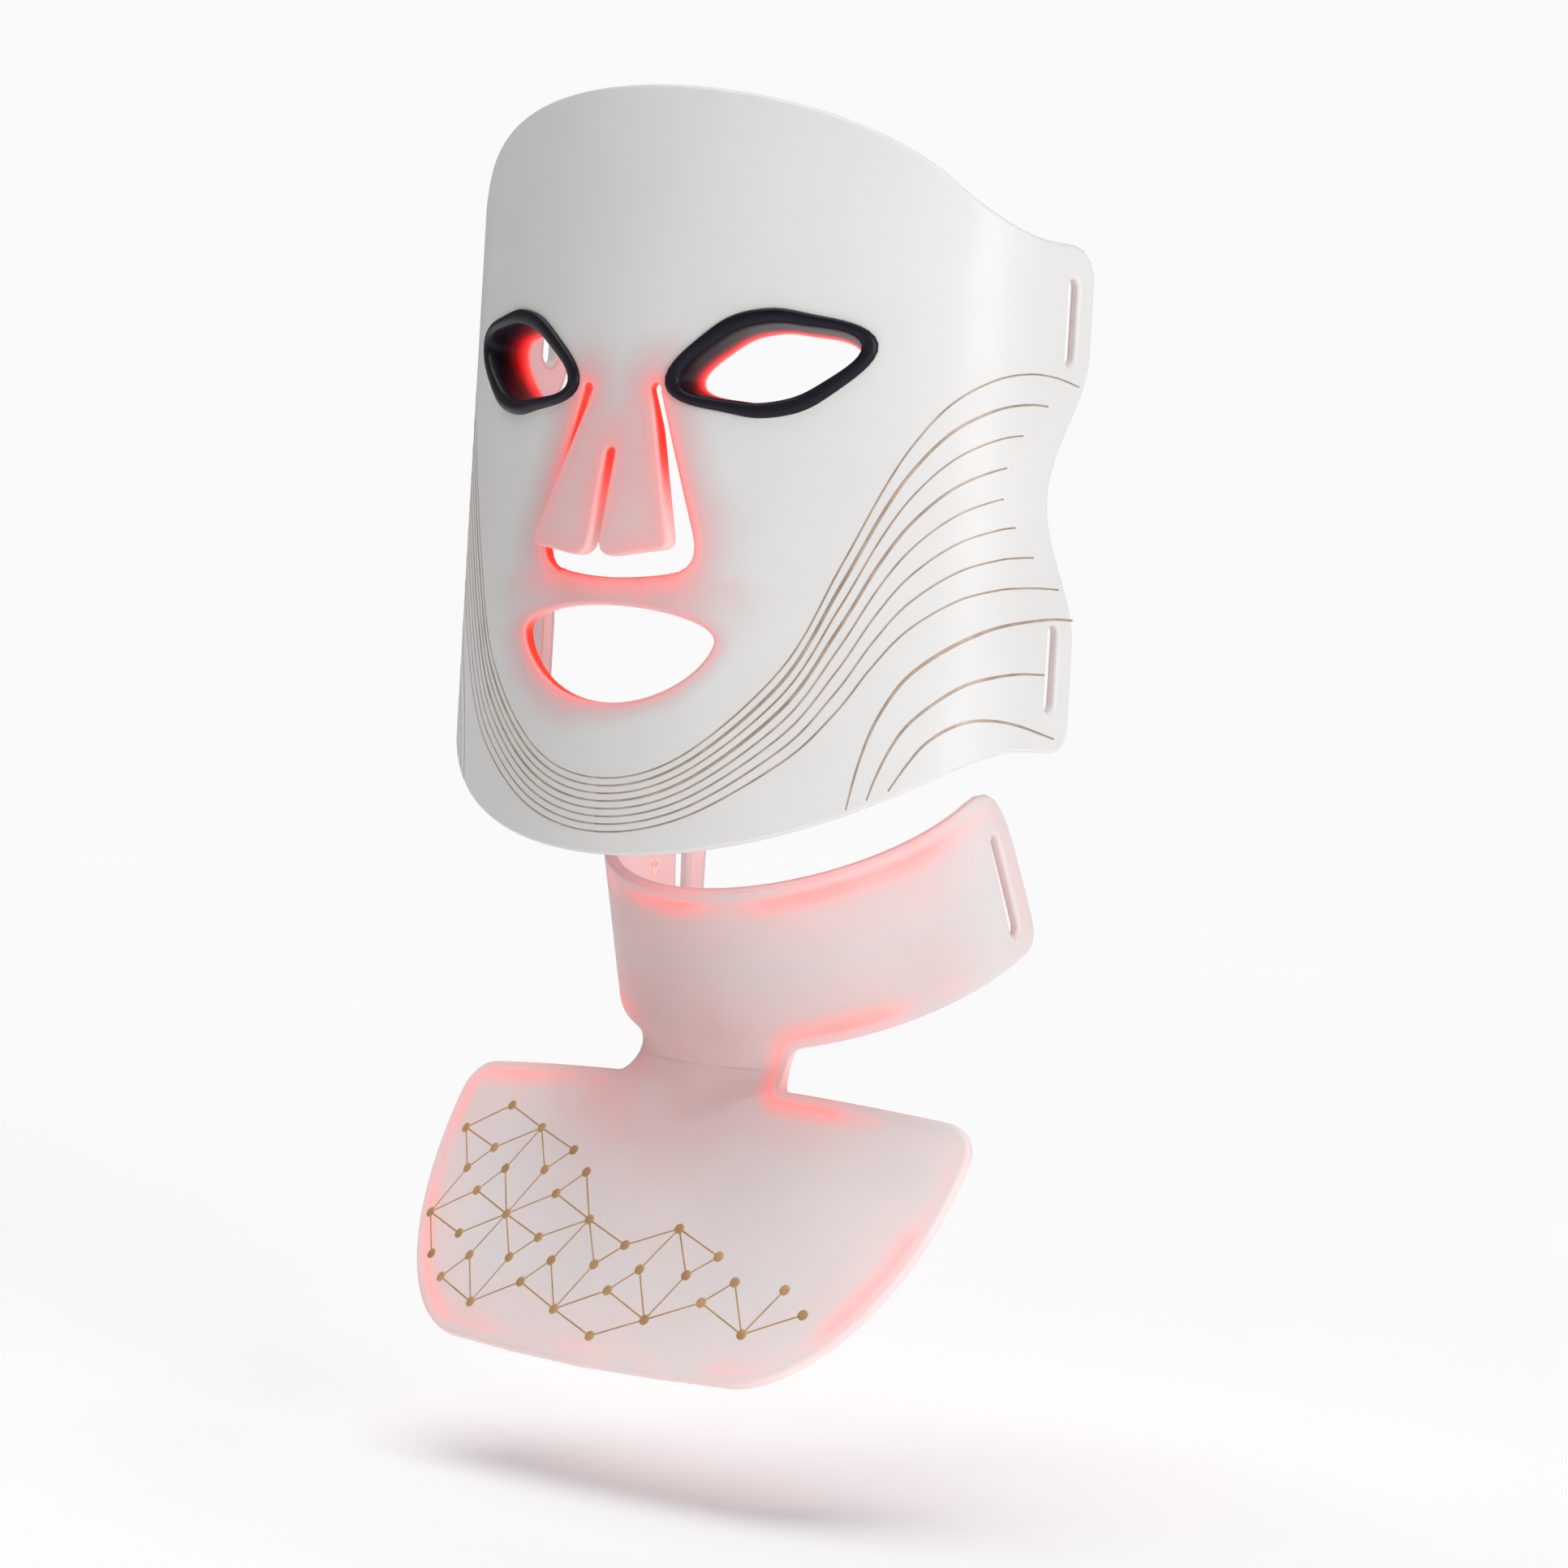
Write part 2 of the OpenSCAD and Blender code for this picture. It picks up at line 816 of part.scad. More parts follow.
module bib_driver_chips() {
    color(chip_colour) on_bib() for (u = bib_chip_u)
        package_on_arc(u, -bib_bottom_w + chip_up, bib_r, bib_r, chip_size);
}

module bib_inlet_boot() {
    at_bib_inlet() inlet_boot();
}

module bib_inlet_shell() {
    at_bib_inlet() inlet_shell();
}

module bib_inlet_tongue() {
    at_bib_inlet() inlet_tongue();
}

face_cover();
face_inner_cover();
face_circuit();
face_red_leds();
face_infrared_leds();
face_driver_chips();
left_eye_gasket();
right_eye_gasket();
mask_inlet_boot();
mask_inlet_shell();
mask_inlet_tongue();
left_wing_cover();
left_wing_inner_cover();
left_wing_circuit();
left_wing_red_leds();
left_wing_infrared_leds();
right_wing_cover();
right_wing_inner_cover();
right_wing_circuit();
right_wing_red_leds();
right_wing_infrared_leds();
nose_flap_cover();
nose_flap_inner_cover();
nose_flap_circuit();
nose_flap_red_leds();
collar_cover();
collar_inner_cover();
collar_circuit();
collar_red_leds();
collar_infrared_leds();
collar_left_wing_cover();
collar_left_wing_inner_cover();
collar_left_wing_circuit();
collar_left_wing_red_leds();
collar_right_wing_cover();
collar_right_wing_inner_cover();
collar_right_wing_circuit();
collar_right_wing_red_leds();
bib_cover();
bib_inner_cover();
bib_circuit();
bib_red_leds();
bib_infrared_leds();
bib_driver_chips();
bib_inlet_boot();
bib_inlet_shell();
bib_inlet_tongue();
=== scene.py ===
"""LED face mask with a separate neck and chest panel, both of soft silicone lit from inside.

Lengths are in millimetres until a mesh is made. A panel's flat pattern has u across, towards
the wearer's left, and h up. Depth is measured inwards from the outer surface.
"""

import bpy
import numpy as np
from mathutils import Matrix, Vector
from mathutils.geometry import delaunay_2d_cdt

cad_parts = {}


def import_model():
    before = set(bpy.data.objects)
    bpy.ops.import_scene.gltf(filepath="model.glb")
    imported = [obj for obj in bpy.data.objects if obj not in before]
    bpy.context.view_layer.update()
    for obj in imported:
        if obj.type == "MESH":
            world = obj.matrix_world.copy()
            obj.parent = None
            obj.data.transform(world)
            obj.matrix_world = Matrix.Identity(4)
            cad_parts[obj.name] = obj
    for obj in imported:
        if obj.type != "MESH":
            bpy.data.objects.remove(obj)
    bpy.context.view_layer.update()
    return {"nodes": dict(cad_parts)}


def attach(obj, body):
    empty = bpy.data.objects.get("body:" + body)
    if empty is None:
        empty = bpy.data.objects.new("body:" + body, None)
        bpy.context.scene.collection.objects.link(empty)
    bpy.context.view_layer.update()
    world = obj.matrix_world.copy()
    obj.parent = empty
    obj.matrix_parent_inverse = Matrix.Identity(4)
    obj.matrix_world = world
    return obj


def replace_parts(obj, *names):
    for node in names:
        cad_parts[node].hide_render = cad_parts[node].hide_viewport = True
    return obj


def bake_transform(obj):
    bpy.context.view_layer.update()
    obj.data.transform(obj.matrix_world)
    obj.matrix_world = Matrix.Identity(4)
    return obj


MM = 0.001

# Mask: plan curve and outline
FRONT_R, CORNER_R, FRONT_Y = 110, 30, 93
BEND = np.pi / 4
FRONT_C = FRONT_R - FRONT_Y
FRONT_U = FRONT_R * BEND
CORNER_X = (FRONT_R - CORNER_R) * np.sin(BEND)
CORNER_Y = FRONT_C - (FRONT_R - CORNER_R) * np.cos(BEND)
SIDE_U = FRONT_U + CORNER_R * (np.pi / 2 - BEND)
HALF_FLAT = 131
FOREHEAD_H, CHIN_H = 59.6, 127.5
BROW_HALF, BROW_RISE, BROW_U = 95, 40.6, 84
TAB_U, TAB_TOP, TAB_R = 113, 26.7, 9
JAW_U, JAW_RISE, HEEL_U, HEEL_H, HEEL_R = 84, 0.0031, 110, -96.5, 6
EAR_H, EAR_HALF, EAR_DIP = -35, 36, 14

# Mask: openings
EYE_AT, EYE_TILT, EYE_TURN = (40.7, -7.2), np.radians(16), np.radians(21)
EYE_HALF = (27, 13.5)
EYE_HOLE = 2
MOUTH_W, MOUTH_H, MOUTH_UP, MOUTH_DOWN = 31, -74.3, 7.5, 16.2
FLAP_TOP, FLAP_LEAN, FLAP_EASE = -14, np.radians(11), 5
SLIT_AT, SLIT_R = (11, -14.1), 1.25
MIDDLE_SLIT_H, MIDDLE_SLIT_R = -30, 1.3
FLAP_EXTRA, FLAP_EASE_H = 0.6, 12  # the flap thickens by this share, over this height
SLOT_U, SLOT_H, SLOT_L, SLOT_W = 122.5, (8, -76), 21, 4

# Neck and chest panel
COLLAR_R, COLLAR_H, COLLAR_AT = 52, 42.5, (0, -14, -113)
COLLAR_LEAN, COLLAR_FLARE = np.radians(27), np.radians(8.5)
COLLAR_FOOT, COLLAR_END, COLLAR_END_R, COLLAR_TIP_R = 11.2, 104, 7, 18
COLLAR_TOP = COLLAR_FOOT + COLLAR_H
COLLAR_SLOT = (93.8, 30)
COLLAR_FOLD = np.radians(58)
BIB_R, BIB_AT, BIB_SLOPE = 450, (0, -50, -188), np.radians(31)
BIB_TOP, BIB_HALF, BIB_CORNER_R = 5, 84, 9
BIB_SIDE, BIB_LOW_HALF, BIB_LOW, BIB_LOW_R, BIB_BEND = -5, 44, -75.4, 2.4, 1.1
WAIST_HALF, NOTCH_R = 25, 3.1
NECK_CUT = BIB_TOP + NOTCH_R

# Layers, by depth
LINING_D, PANEL_T = 2.4, 3.2
RIM_W, COVER_EDGE_R, NECK_EDGE_R, LINING_EDGE_R = 1.7, 1.1, 1.2, 0.1

# Triangle pitch, halved near the edges that glow, and the glow that the inner sides get
PITCH = 3
FINE_WITHIN = 12
INNER_HALO = 2.4


# ---- Flat outlines ----

def smooth_step(x):
    x = np.clip(x, 0, 1)
    return x * x * (3 - 2 * x)


def unit(v):
    return v / np.maximum(np.linalg.norm(v, axis=-1, keepdims=True), 1e-9)


def arc(centre, r, start, end, count):
    """Points on an arc, with its angles in degrees."""
    a = np.radians(np.linspace(start, end, count + 1))
    return [(centre[0] + r * np.cos(t), centre[1] + r * np.sin(t)) for t in a]


def rounded(corners, count=6):
    """A polyline whose inner corners, given as (u, h, length of the bend), are rounded."""
    path = [corners[0][:2]]
    for before, corner, after in zip(corners, corners[1:], corners[2:]):
        at = np.array(corner[:2], float)
        start = at + corner[2] * unit(np.array(before[:2]) - at)
        end = at + corner[2] * unit(np.array(after[:2]) - at)
        for s in np.linspace(0, 1, count + 1):
            path.append(tuple((1 - s) ** 2 * start + 2 * s * (1 - s) * at + s * s * end))
    return path + [corners[-1][:2]]


def divided(path, step):
    """The same closed line with extra points on its long stretches."""
    points = np.array(path, float)
    out = []
    for a, b in zip(points, np.roll(points, -1, 0)):
        count = max(1, round(float(np.linalg.norm(b - a)) / step))
        out += [a + (b - a) * k / count for k in range(count)]
    return np.array(out)


def mirrored(loop):
    return np.array(loop) * (-1, 1)


def closed(half, step=2.2):
    """A loop that crosses the middle twice, from its half on the left."""
    return divided(list(half) + [(-u, h) for u, h in half[-2:0:-1]], step)


def brow(u):
    return FOREHEAD_H - BROW_RISE * (1 - np.sqrt(1 - (u / BROW_HALF) ** 2))


def top_edge(u):
    if u < BROW_U:
        return brow(u)
    return TAB_TOP + (brow(BROW_U) - TAB_TOP) * max(0, (TAB_U - u) / (TAB_U - BROW_U)) ** 2


def bottom_edge(u):
    if u < JAW_U:
        return -CHIN_H + JAW_RISE * u * u
    jaw = -CHIN_H + JAW_RISE * JAW_U ** 2
    return HEEL_H - (HEEL_H - jaw) * max(0, (HEEL_U - u) / (HEEL_U - JAW_U)) ** 1.5


def rear_edge(h):
    return HALF_FLAT - EAR_DIP * np.cos(np.pi / 2 * (h - EAR_H) / EAR_HALF) ** 2


def mask_outline():
    bottom = [(u, bottom_edge(u)) for u in np.linspace(0, HALF_FLAT - HEEL_R, 57)]
    heel = arc((HALF_FLAT - HEEL_R, HEEL_H + HEEL_R), HEEL_R, -80, 0, 5)
    ear = [(rear_edge(h), h) for h in np.linspace(EAR_H - EAR_HALF, EAR_H + EAR_HALF, 33)]
    tab = arc((HALF_FLAT - TAB_R, TAB_TOP - TAB_R), TAB_R, 0, 80, 6)
    top = [(u, top_edge(u)) for u in np.linspace(HALF_FLAT - TAB_R, 0, 57)]
    return closed(bottom + heel + ear + tab + top)


def eye_point(t, inset, inset_h=None, rise=0.0):
    """A point of an eye's leaf outline, drawn in by an inset along it and another across it."""
    r = 31.6 / np.sqrt(3.86 - 2.05 * np.cos(2 * t) + 0.6 * np.sin(2 * t)
                       - 0.31 * np.cos(4 * t) - 0.125 * np.cos(6 * t))
    along = r * np.cos(t) * (1 - inset / EYE_HALF[0])
    across = r * np.sin(t) * (1 - (inset if inset_h is None else inset_h) / EYE_HALF[1]) + rise
    cos, sin = np.cos(EYE_TILT), np.sin(EYE_TILT)
    return EYE_AT[0] + along * cos - across * sin, EYE_AT[1] + along * sin + across * cos


def turns(count):
    return np.linspace(0, 2 * np.pi, count, endpoint=False)


def eye_hole():
    return np.array([eye_point(t, EYE_HOLE) for t in turns(64)])


def mouth_outline():
    half = []
    for t in np.linspace(-np.pi / 2, np.pi / 2, 37):
        rise = MOUTH_UP * np.sin(t) if t > 0 else -MOUTH_DOWN * abs(np.sin(t)) ** 1.3
        half.append((MOUTH_W * np.cos(t), MOUTH_H + rise))
    return closed(half)


def nose_outline():
    """The opening round the flap: side slits, middle slit and the gap under both lobes."""
    outer = rounded([(0, -60), (12, -59.6, 8), (26.2, -57, 8.5), (12.2, -13.7)])
    slit_top = arc(SLIT_AT, SLIT_R, -17, 197, 12)
    lobe = rounded([(9.8, -13.7), (22.6, -52.6, 3), (1.3, -55.8, 6), (1.3, MIDDLE_SLIT_H)])
    middle = arc((0, MIDDLE_SLIT_H), MIDDLE_SLIT_R, 0, 90, 5)
    return closed(outer[:-1] + slit_top + lobe[1:-1] + middle, 1.8)


def slot_outline(u, h, length, width):
    r = width / 2
    reach = length / 2 - r
    return divided(arc((u, h + reach), r, 0, 180, 10) + arc((u, h - reach), r, 180, 360, 10), 2.5)


def neck_outline():
    low = [(0, BIB_LOW), (24, BIB_LOW + 0.8)]
    side = []
    for a in np.radians(np.linspace(86, 0, 27)):
        side.append((BIB_LOW_HALF + (BIB_HALF - BIB_LOW_HALF) * np.cos(a) ** BIB_BEND,
                     BIB_SIDE + (BIB_LOW + BIB_LOW_R - BIB_SIDE) * np.sin(a)))
    corner = arc((BIB_HALF - BIB_CORNER_R, BIB_TOP - BIB_CORNER_R), BIB_CORNER_R, 0, 90, 8)
    notch = arc((WAIST_HALF + NOTCH_R, BIB_TOP + NOTCH_R), NOTCH_R, 270, 90, 10)
    end = rounded([(60, COLLAR_FOOT), (COLLAR_END - 0.6, COLLAR_FOOT, COLLAR_END_R),
                   (COLLAR_END + 0.4, COLLAR_TOP, COLLAR_TIP_R), (60, COLLAR_TOP)])
    return closed(low + side + corner + notch + end + [(0, COLLAR_TOP)])


# ---- Surfaces that the flat patterns are laid on ----

def mask_surface(p, depth):
    u, a = p[:, 0], np.abs(p[:, 0])
    front, corner = a / FRONT_R, BEND + (a - FRONT_U) / CORNER_R
    x = np.select([a < FRONT_U, a < SIDE_U],
                  [(FRONT_R - depth) * np.sin(front),
                   CORNER_X + (CORNER_R - depth) * np.sin(corner)],
                  CORNER_X + CORNER_R - depth)
    y = np.select([a < FRONT_U, a < SIDE_U],
                  [FRONT_C - (FRONT_R - depth) * np.cos(front),
                   CORNER_Y - (CORNER_R - depth) * np.cos(corner)],
                  CORNER_Y + a - SIDE_U)
    out = np.stack([np.sign(u) * x, y, p[:, 1]], 1)
    down = np.where(on_flap(p), np.maximum(FLAP_TOP - p[:, 1], 0), 0)
    lean = np.where(down < FLAP_EASE, down ** 2 / 2 / FLAP_EASE, down - FLAP_EASE / 2)
    out[:, 1] -= lean * np.tan(FLAP_LEAN) - FLAP_EXTRA * depth * smooth_step(down / FLAP_EASE_H)
    return out


def on_flap(p):
    """True for points of the flap, inside the middle line of its slits."""
    u, h = np.abs(p[:, 0]), p[:, 1]
    side = SLIT_AT[0] + np.maximum(-15 - h, 0) * 0.33
    return (u < side) & (h < SLIT_AT[1]) & (h > -57.2 + 0.0045 * u * u)


def tilted(x, y, z, angle, origin):
    cos, sin = np.cos(angle), np.sin(angle)
    return np.stack([x + origin[0], y * cos - z * sin + origin[1], y * sin + z * cos + origin[2]], 1)


def collar_surface(p, depth):
    fall = COLLAR_TOP - p[:, 1]
    r = COLLAR_R + fall * np.tan(COLLAR_FLARE)
    angle = p[:, 0] / r
    r = r - depth / np.cos(COLLAR_FLARE)
    return tilted(r * np.sin(angle), -r * np.cos(angle), -fall, COLLAR_LEAN, COLLAR_AT)


def bib_surface(p, depth):
    angle = p[:, 0] / BIB_R
    r = BIB_R - depth
    return tilted(r * np.sin(angle), BIB_R - r * np.cos(angle), p[:, 1], -BIB_SLOPE, BIB_AT)


def neck_surface(p, depth):
    """The collar's cone, the bib's shallow arc, and a soft bend between them at the waist."""
    out = smooth_step(np.abs(p[:, 0]) / (WAIST_HALF + NOTCH_R))
    upper = COLLAR_FOOT + 13 * (1 - out)
    lower = BIB_TOP - 13 * (1 - out)
    share = smooth_step((upper - p[:, 1]) / (upper - lower))[:, None]
    return (1 - share) * collar_surface(p, depth) + share * bib_surface(p, depth)


def directions(surface, p, depth):
    """Unit vectors across, up and outwards on a surface."""
    step = 0.05
    across = unit(surface(p + (step, 0), depth) - surface(p - (step, 0), depth))
    up = unit(surface(p + (0, step), depth) - surface(p - (0, step), depth))
    return across, up, unit(np.cross(across, up))


# ---- Mesh building ----

def mesh_object(name, points, faces, mat, normals=None, facts=None):
    """A smooth mesh from points in millimetres, with its point attributes in facts."""
    mesh = bpy.data.meshes.new(name)
    mesh.from_pydata([tuple(p) for p in np.asarray(points) * MM], [], faces)
    mesh.materials.append(mat)
    for key, values in (facts or {}).items():
        mesh.attributes.new(key, "FLOAT", "POINT").data.foreach_set("value", np.float32(values))
    mesh.shade_smooth()
    if normals is not None:
        mesh.normals_split_custom_set_from_vertices([tuple(n) for n in normals])
    obj = bpy.data.objects.new(name, mesh)
    bpy.context.scene.collection.objects.link(obj)
    return obj


def oriented(loops):
    """The same loops with the material on their left: the first is an outline, the rest are holes."""
    out = []
    for k, loop in enumerate(loops):
        after = np.roll(loop, -1, 0)
        area = np.sum(loop[:, 0] * after[:, 1] - after[:, 0] * loop[:, 1])
        out.append(loop if (area > 0) == (k == 0) else loop[::-1])
    return out


def facing_in(loop):
    """Unit normals of a loop that point into the material on its left."""
    after = np.roll(loop, -1, 0) - loop
    side = unit(after) + unit(np.roll(after, 1, 0))
    return unit(np.stack([-side[:, 1], side[:, 0]], 1))


def inset_loops(loops, distance):
    return [loop + distance * facing_in(loop) for loop in loops]


def inside(p, loops):
    """True for points in the first loop and outside the others."""
    odd = np.zeros(len(p), bool)
    for loop in loops:
        a, b = loop, np.roll(loop, -1, 0)
        crosses = (a[:, 1] > p[:, 1:2]) != (b[:, 1] > p[:, 1:2])
        rise = np.where(b[:, 1] == a[:, 1], 1, b[:, 1] - a[:, 1])
        at = a[:, 0] + (p[:, 1:2] - a[:, 1]) / rise * (b[:, 0] - a[:, 0])
        odd ^= (np.sum(crosses & (p[:, 0:1] < at), 1) % 2).astype(bool)
    return odd


def distance_to(p, loops):
    """Distance from each point to the nearest of the loops."""
    best = np.full(len(p), 1e3)
    for loop in loops:
        a, along = loop, np.roll(loop, -1, 0) - loop
        for k in range(0, len(p), 2000):
            part = p[k:k + 2000, None]
            t = np.clip(np.sum((part - a) * along, 2) / np.maximum(np.sum(along ** 2, 1), 1e-9), 0, 1)
            gap = np.linalg.norm(part - a - t[..., None] * along, axis=2).min(1)
            best[k:k + 2000] = np.minimum(best[k:k + 2000], gap)
    return best


class Sheet:
    """A panel of even thickness with rounded edges, triangulated once on its flat pattern."""

    def __init__(self, loops, surface, front, back, edge_r, cuts, shades):
        self.loops = oriented(loops)
        self.surface, self.front, self.back, self.edge_r = surface, front, back, edge_r
        self.shades = shades
        self.rim = inset_loops(self.loops, edge_r)
        self.flat = self.fill(cuts)

    def fill(self, cuts):
        """Points of the flat pattern, those of the rim first, and the triangles between them."""
        rim = np.concatenate(self.rim)
        edges, first = [], 0
        for loop in self.rim:
            edges += [(first + k, first + (k + 1) % len(loop)) for k in range(len(loop))]
            first += len(loop)
        low, high = rim.min(0), rim.max(0)
        grids = []
        for pitch, fine in ((PITCH, False), (PITCH / 2, True)):
            columns = np.arange(np.ceil(low[0] / pitch), high[0] / pitch)
            grid = np.array([(c * pitch, h + (c % 2) * pitch / 2)
                             for c in columns for h in np.arange(low[1], high[1], pitch)])
            grid = grid[inside(grid, self.rim)]
            grid = grid[distance_to(grid, self.rim) > 0.5 * pitch]
            grids.append(grid[(self.shades(grid, self.loops)["halo"] < FINE_WITHIN) == fine])
        points = [tuple(p) for p in np.concatenate([rim] + grids)]
        for path in cuts:
            ends = [int(np.argmin(np.linalg.norm(rim - np.array(p), axis=1))) for p in path]
            edges.append(tuple(ends))
        made = delaunay_2d_cdt([Vector(p) for p in points], edges, [], 0, 1e-5)
        flat = np.array([tuple(p) for p in made[0]])
        start = [sources[0] if sources else -1 for sources in made[3]]
        order = sorted(range(len(flat)), key=lambda k: (start[k] < 0, start[k]))
        place = {old: new for new, old in enumerate(order)}
        triangles = np.array([[place[k] for k in face] for face in made[2]])
        flat = flat[order]
        self.triangles = triangles[inside(flat[triangles].mean(1), self.rim)]
        return flat

    def profile(self):
        """The steps over the rounded edge between front and back: inset, depth, normal out and up."""
        angles = np.radians((22.5, 45, 67.5, 90))
        r = self.edge_r
        over = [(r * (1 - np.sin(a)), self.front + r * (1 - np.cos(a)), np.sin(a), np.cos(a))
                for a in angles]
        under = [(inset, self.front + self.back - depth, out, -up) for inset, depth, out, up in over]
        return over + under[::-1]

    def piece(self, name, chosen, mat):
        """The part of the sheet whose flat points pass a test, closed where it is cut."""
        count, rim_count = len(self.flat), sum(len(loop) for loop in self.loops)
        loop_in = np.concatenate([facing_in(loop) for loop in self.loops])
        loop_at = np.concatenate(self.loops)
        across, up, out = directions(self.surface, self.flat, self.front)
        points = [self.surface(self.flat, self.front)]
        normals = [out]
        for inset, depth, outward, front in self.profile():
            at = loop_at + inset * loop_in
            points.append(self.surface(at, depth))
            across, up, out = directions(self.surface, at, depth)
            side = -(across * loop_in[:, :1] + up * loop_in[:, 1:])
            normals.append(unit(outward * side + front * out))
        points.append(self.surface(self.flat, self.back))
        normals.append(-directions(self.surface, self.flat, self.back)[2])
        steps = len(self.profile())
        rows = [np.arange(rim_count)] + [count + k * rim_count + np.arange(rim_count) for k in range(steps)]
        under = count + steps * rim_count
        rows.append(under + np.arange(rim_count))

        keep = chosen(self.flat[self.triangles].mean(1))
        faces = [tuple(t) for t in self.triangles[keep]]
        back_faces = [(under + t[2], under + t[1], under + t[0]) for t in faces]
        used = {(t[k], t[(k + 1) % 3]) for t in faces for k in range(3)}
        walls, first = [], 0
        rim_edges = set()
        for loop in self.loops:
            ids = first + np.arange(len(loop))
            after = np.roll(ids, -1)
            rim_edges |= set(zip(ids.tolist(), after.tolist()))
            kept = chosen((loop + np.roll(loop, -1, 0)) / 2)
            for i, j, mine, before in zip(ids, after, kept, np.roll(kept, 1)):
                if mine:
                    walls += [(a[i], b[i], b[j], a[j]) for a, b in zip(rows, rows[1:])]
                if mine != before:
                    end = [row[i] for row in rows]
                    walls.append(tuple(end if before else end[::-1]))
            first += len(loop)
        seams = [(i, i + under, j + under, j) for i, j in used
                 if (j, i) not in used and (i, j) not in rim_edges]
        faces = [tuple(int(k) for k in face) for face in faces + back_faces + walls + seams]
        return self.finished(name, np.concatenate(points), faces, mat, np.concatenate(normals), steps)

    def finished(self, name, points, faces, mat, normals, steps):
        rim_count = sum(len(loop) for loop in self.loops)
        used = sorted({k for face in faces for k in face})
        facts = {}
        for key, values in self.shades(self.flat, self.loops).items():
            rim = values[:rim_count]
            rows = [values] + [rim] * steps + [values]
            if key == "wall":
                rise = [smooth_step((step[1] - self.front - 0.2) / 0.6) for step in self.profile()]
                rows = [0 * values] + [rim * share for share in rise] + [0 * values]
            elif key == "halo":
                rows[-1] = np.full(len(values), INNER_HALO)
            facts[key] = np.concatenate(rows)[used]
        place = {old: new for new, old in enumerate(used)}
        faces = [tuple(place[k] for k in face) for face in faces]
        return mesh_object(name, points[used], faces, mat, normals[used], facts)


def swept(name, rings, mat, facts):
    """A closed hoop through rings of points, each ring the same number of points."""
    count, size = len(rings), len(rings[0])
    faces = []
    for i in range(count):
        j = (i + 1) % count
        for k in range(size):
            m = (k + 1) % size
            faces.append((i * size + k, j * size + k, j * size + m, i * size + m))
    return mesh_object(name, np.concatenate(rings), faces, mat, facts=facts)


def spline(points, count, level=False):
    """A smooth curve through the given flat points, which may start level at the middle."""
    p = np.array(points, float)
    before = p[1] * (-1, 1) if level else 2 * p[0] - p[1]
    p = np.concatenate([[before], p, [2 * p[-1] - p[-2]]])
    out = []
    for a, b, c, d in zip(p, p[1:], p[2:], p[3:]):
        for t in np.linspace(0, 1, count, endpoint=False):
            out.append(0.5 * (2 * b + (c - a) * t + (2 * a - 5 * b + 4 * c - d) * t * t
                              + (3 * b - a - 3 * c + d) * t ** 3))
    return np.array(out + [p[-2]])


def printed(name, paths, surface, mat, thickness=0.06):
    """Ink lines that stand a little proud of a surface: a list of (flat path, width)."""
    points, faces = [], []
    for path, width in paths:
        along = unit(np.gradient(path, axis=0))
        side = np.stack([-along[:, 1], along[:, 0]], 1) * width[:, None] / 2
        rows = [surface(path + side, -thickness / 2), surface(path + side * 0.6, -thickness),
                surface(path - side * 0.6, -thickness), surface(path - side, -thickness / 2),
                surface(path - side, thickness), surface(path + side, thickness)]
        base, n, size = sum(len(p) for p in points), len(path), len(rows)
        points += rows
        for k in range(size):
            m = (k + 1) % size
            for i in range(n - 1):
                faces.append((base + m * n + i, base + m * n + i + 1,
                              base + k * n + i + 1, base + k * n + i))
        faces.append(tuple(base + k * n for k in reversed(range(size))))
        faces.append(tuple(base + k * n + n - 1 for k in range(size)))
    return mesh_object(name, np.concatenate(points), faces, mat)


def buttons(name, places, size, surface, depth, height, mat, corner=0.5):
    """Low rounded pads on a surface: height is inwards where it is positive."""
    turns_round = turns(16)
    square = np.stack([np.cos(turns_round), np.sin(turns_round)], 1)
    square = np.sign(square) * np.abs(square) ** corner * size / 2
    rings = [(1, 0), (1, 0.55), (0.86, 0.9), (0.45, 1)]
    points, faces = [], []
    for at in places:
        base = sum(len(p) for p in points)
        for share, up in rings:
            points.append(surface(np.array(at) + square * share, depth + height * up))
        n = len(square)
        for k in range(len(rings) - 1):
            for i in range(n):
                j = (i + 1) % n
                face = (base + k * n + i, base + k * n + j, base + (k + 1) * n + j, base + (k + 1) * n + i)
                faces.append(face[::-1] if height > 0 else face)
        cap = [base + (len(rings) - 1) * n + i for i in range(n)]
        foot = [base + i for i in range(n)]
        faces += [tuple(cap[::-1]), tuple(foot)] if height > 0 else [tuple(cap), tuple(foot[::-1])]
    return mesh_object(name, np.concatenate(points), faces, mat)


# ---- Materials ----

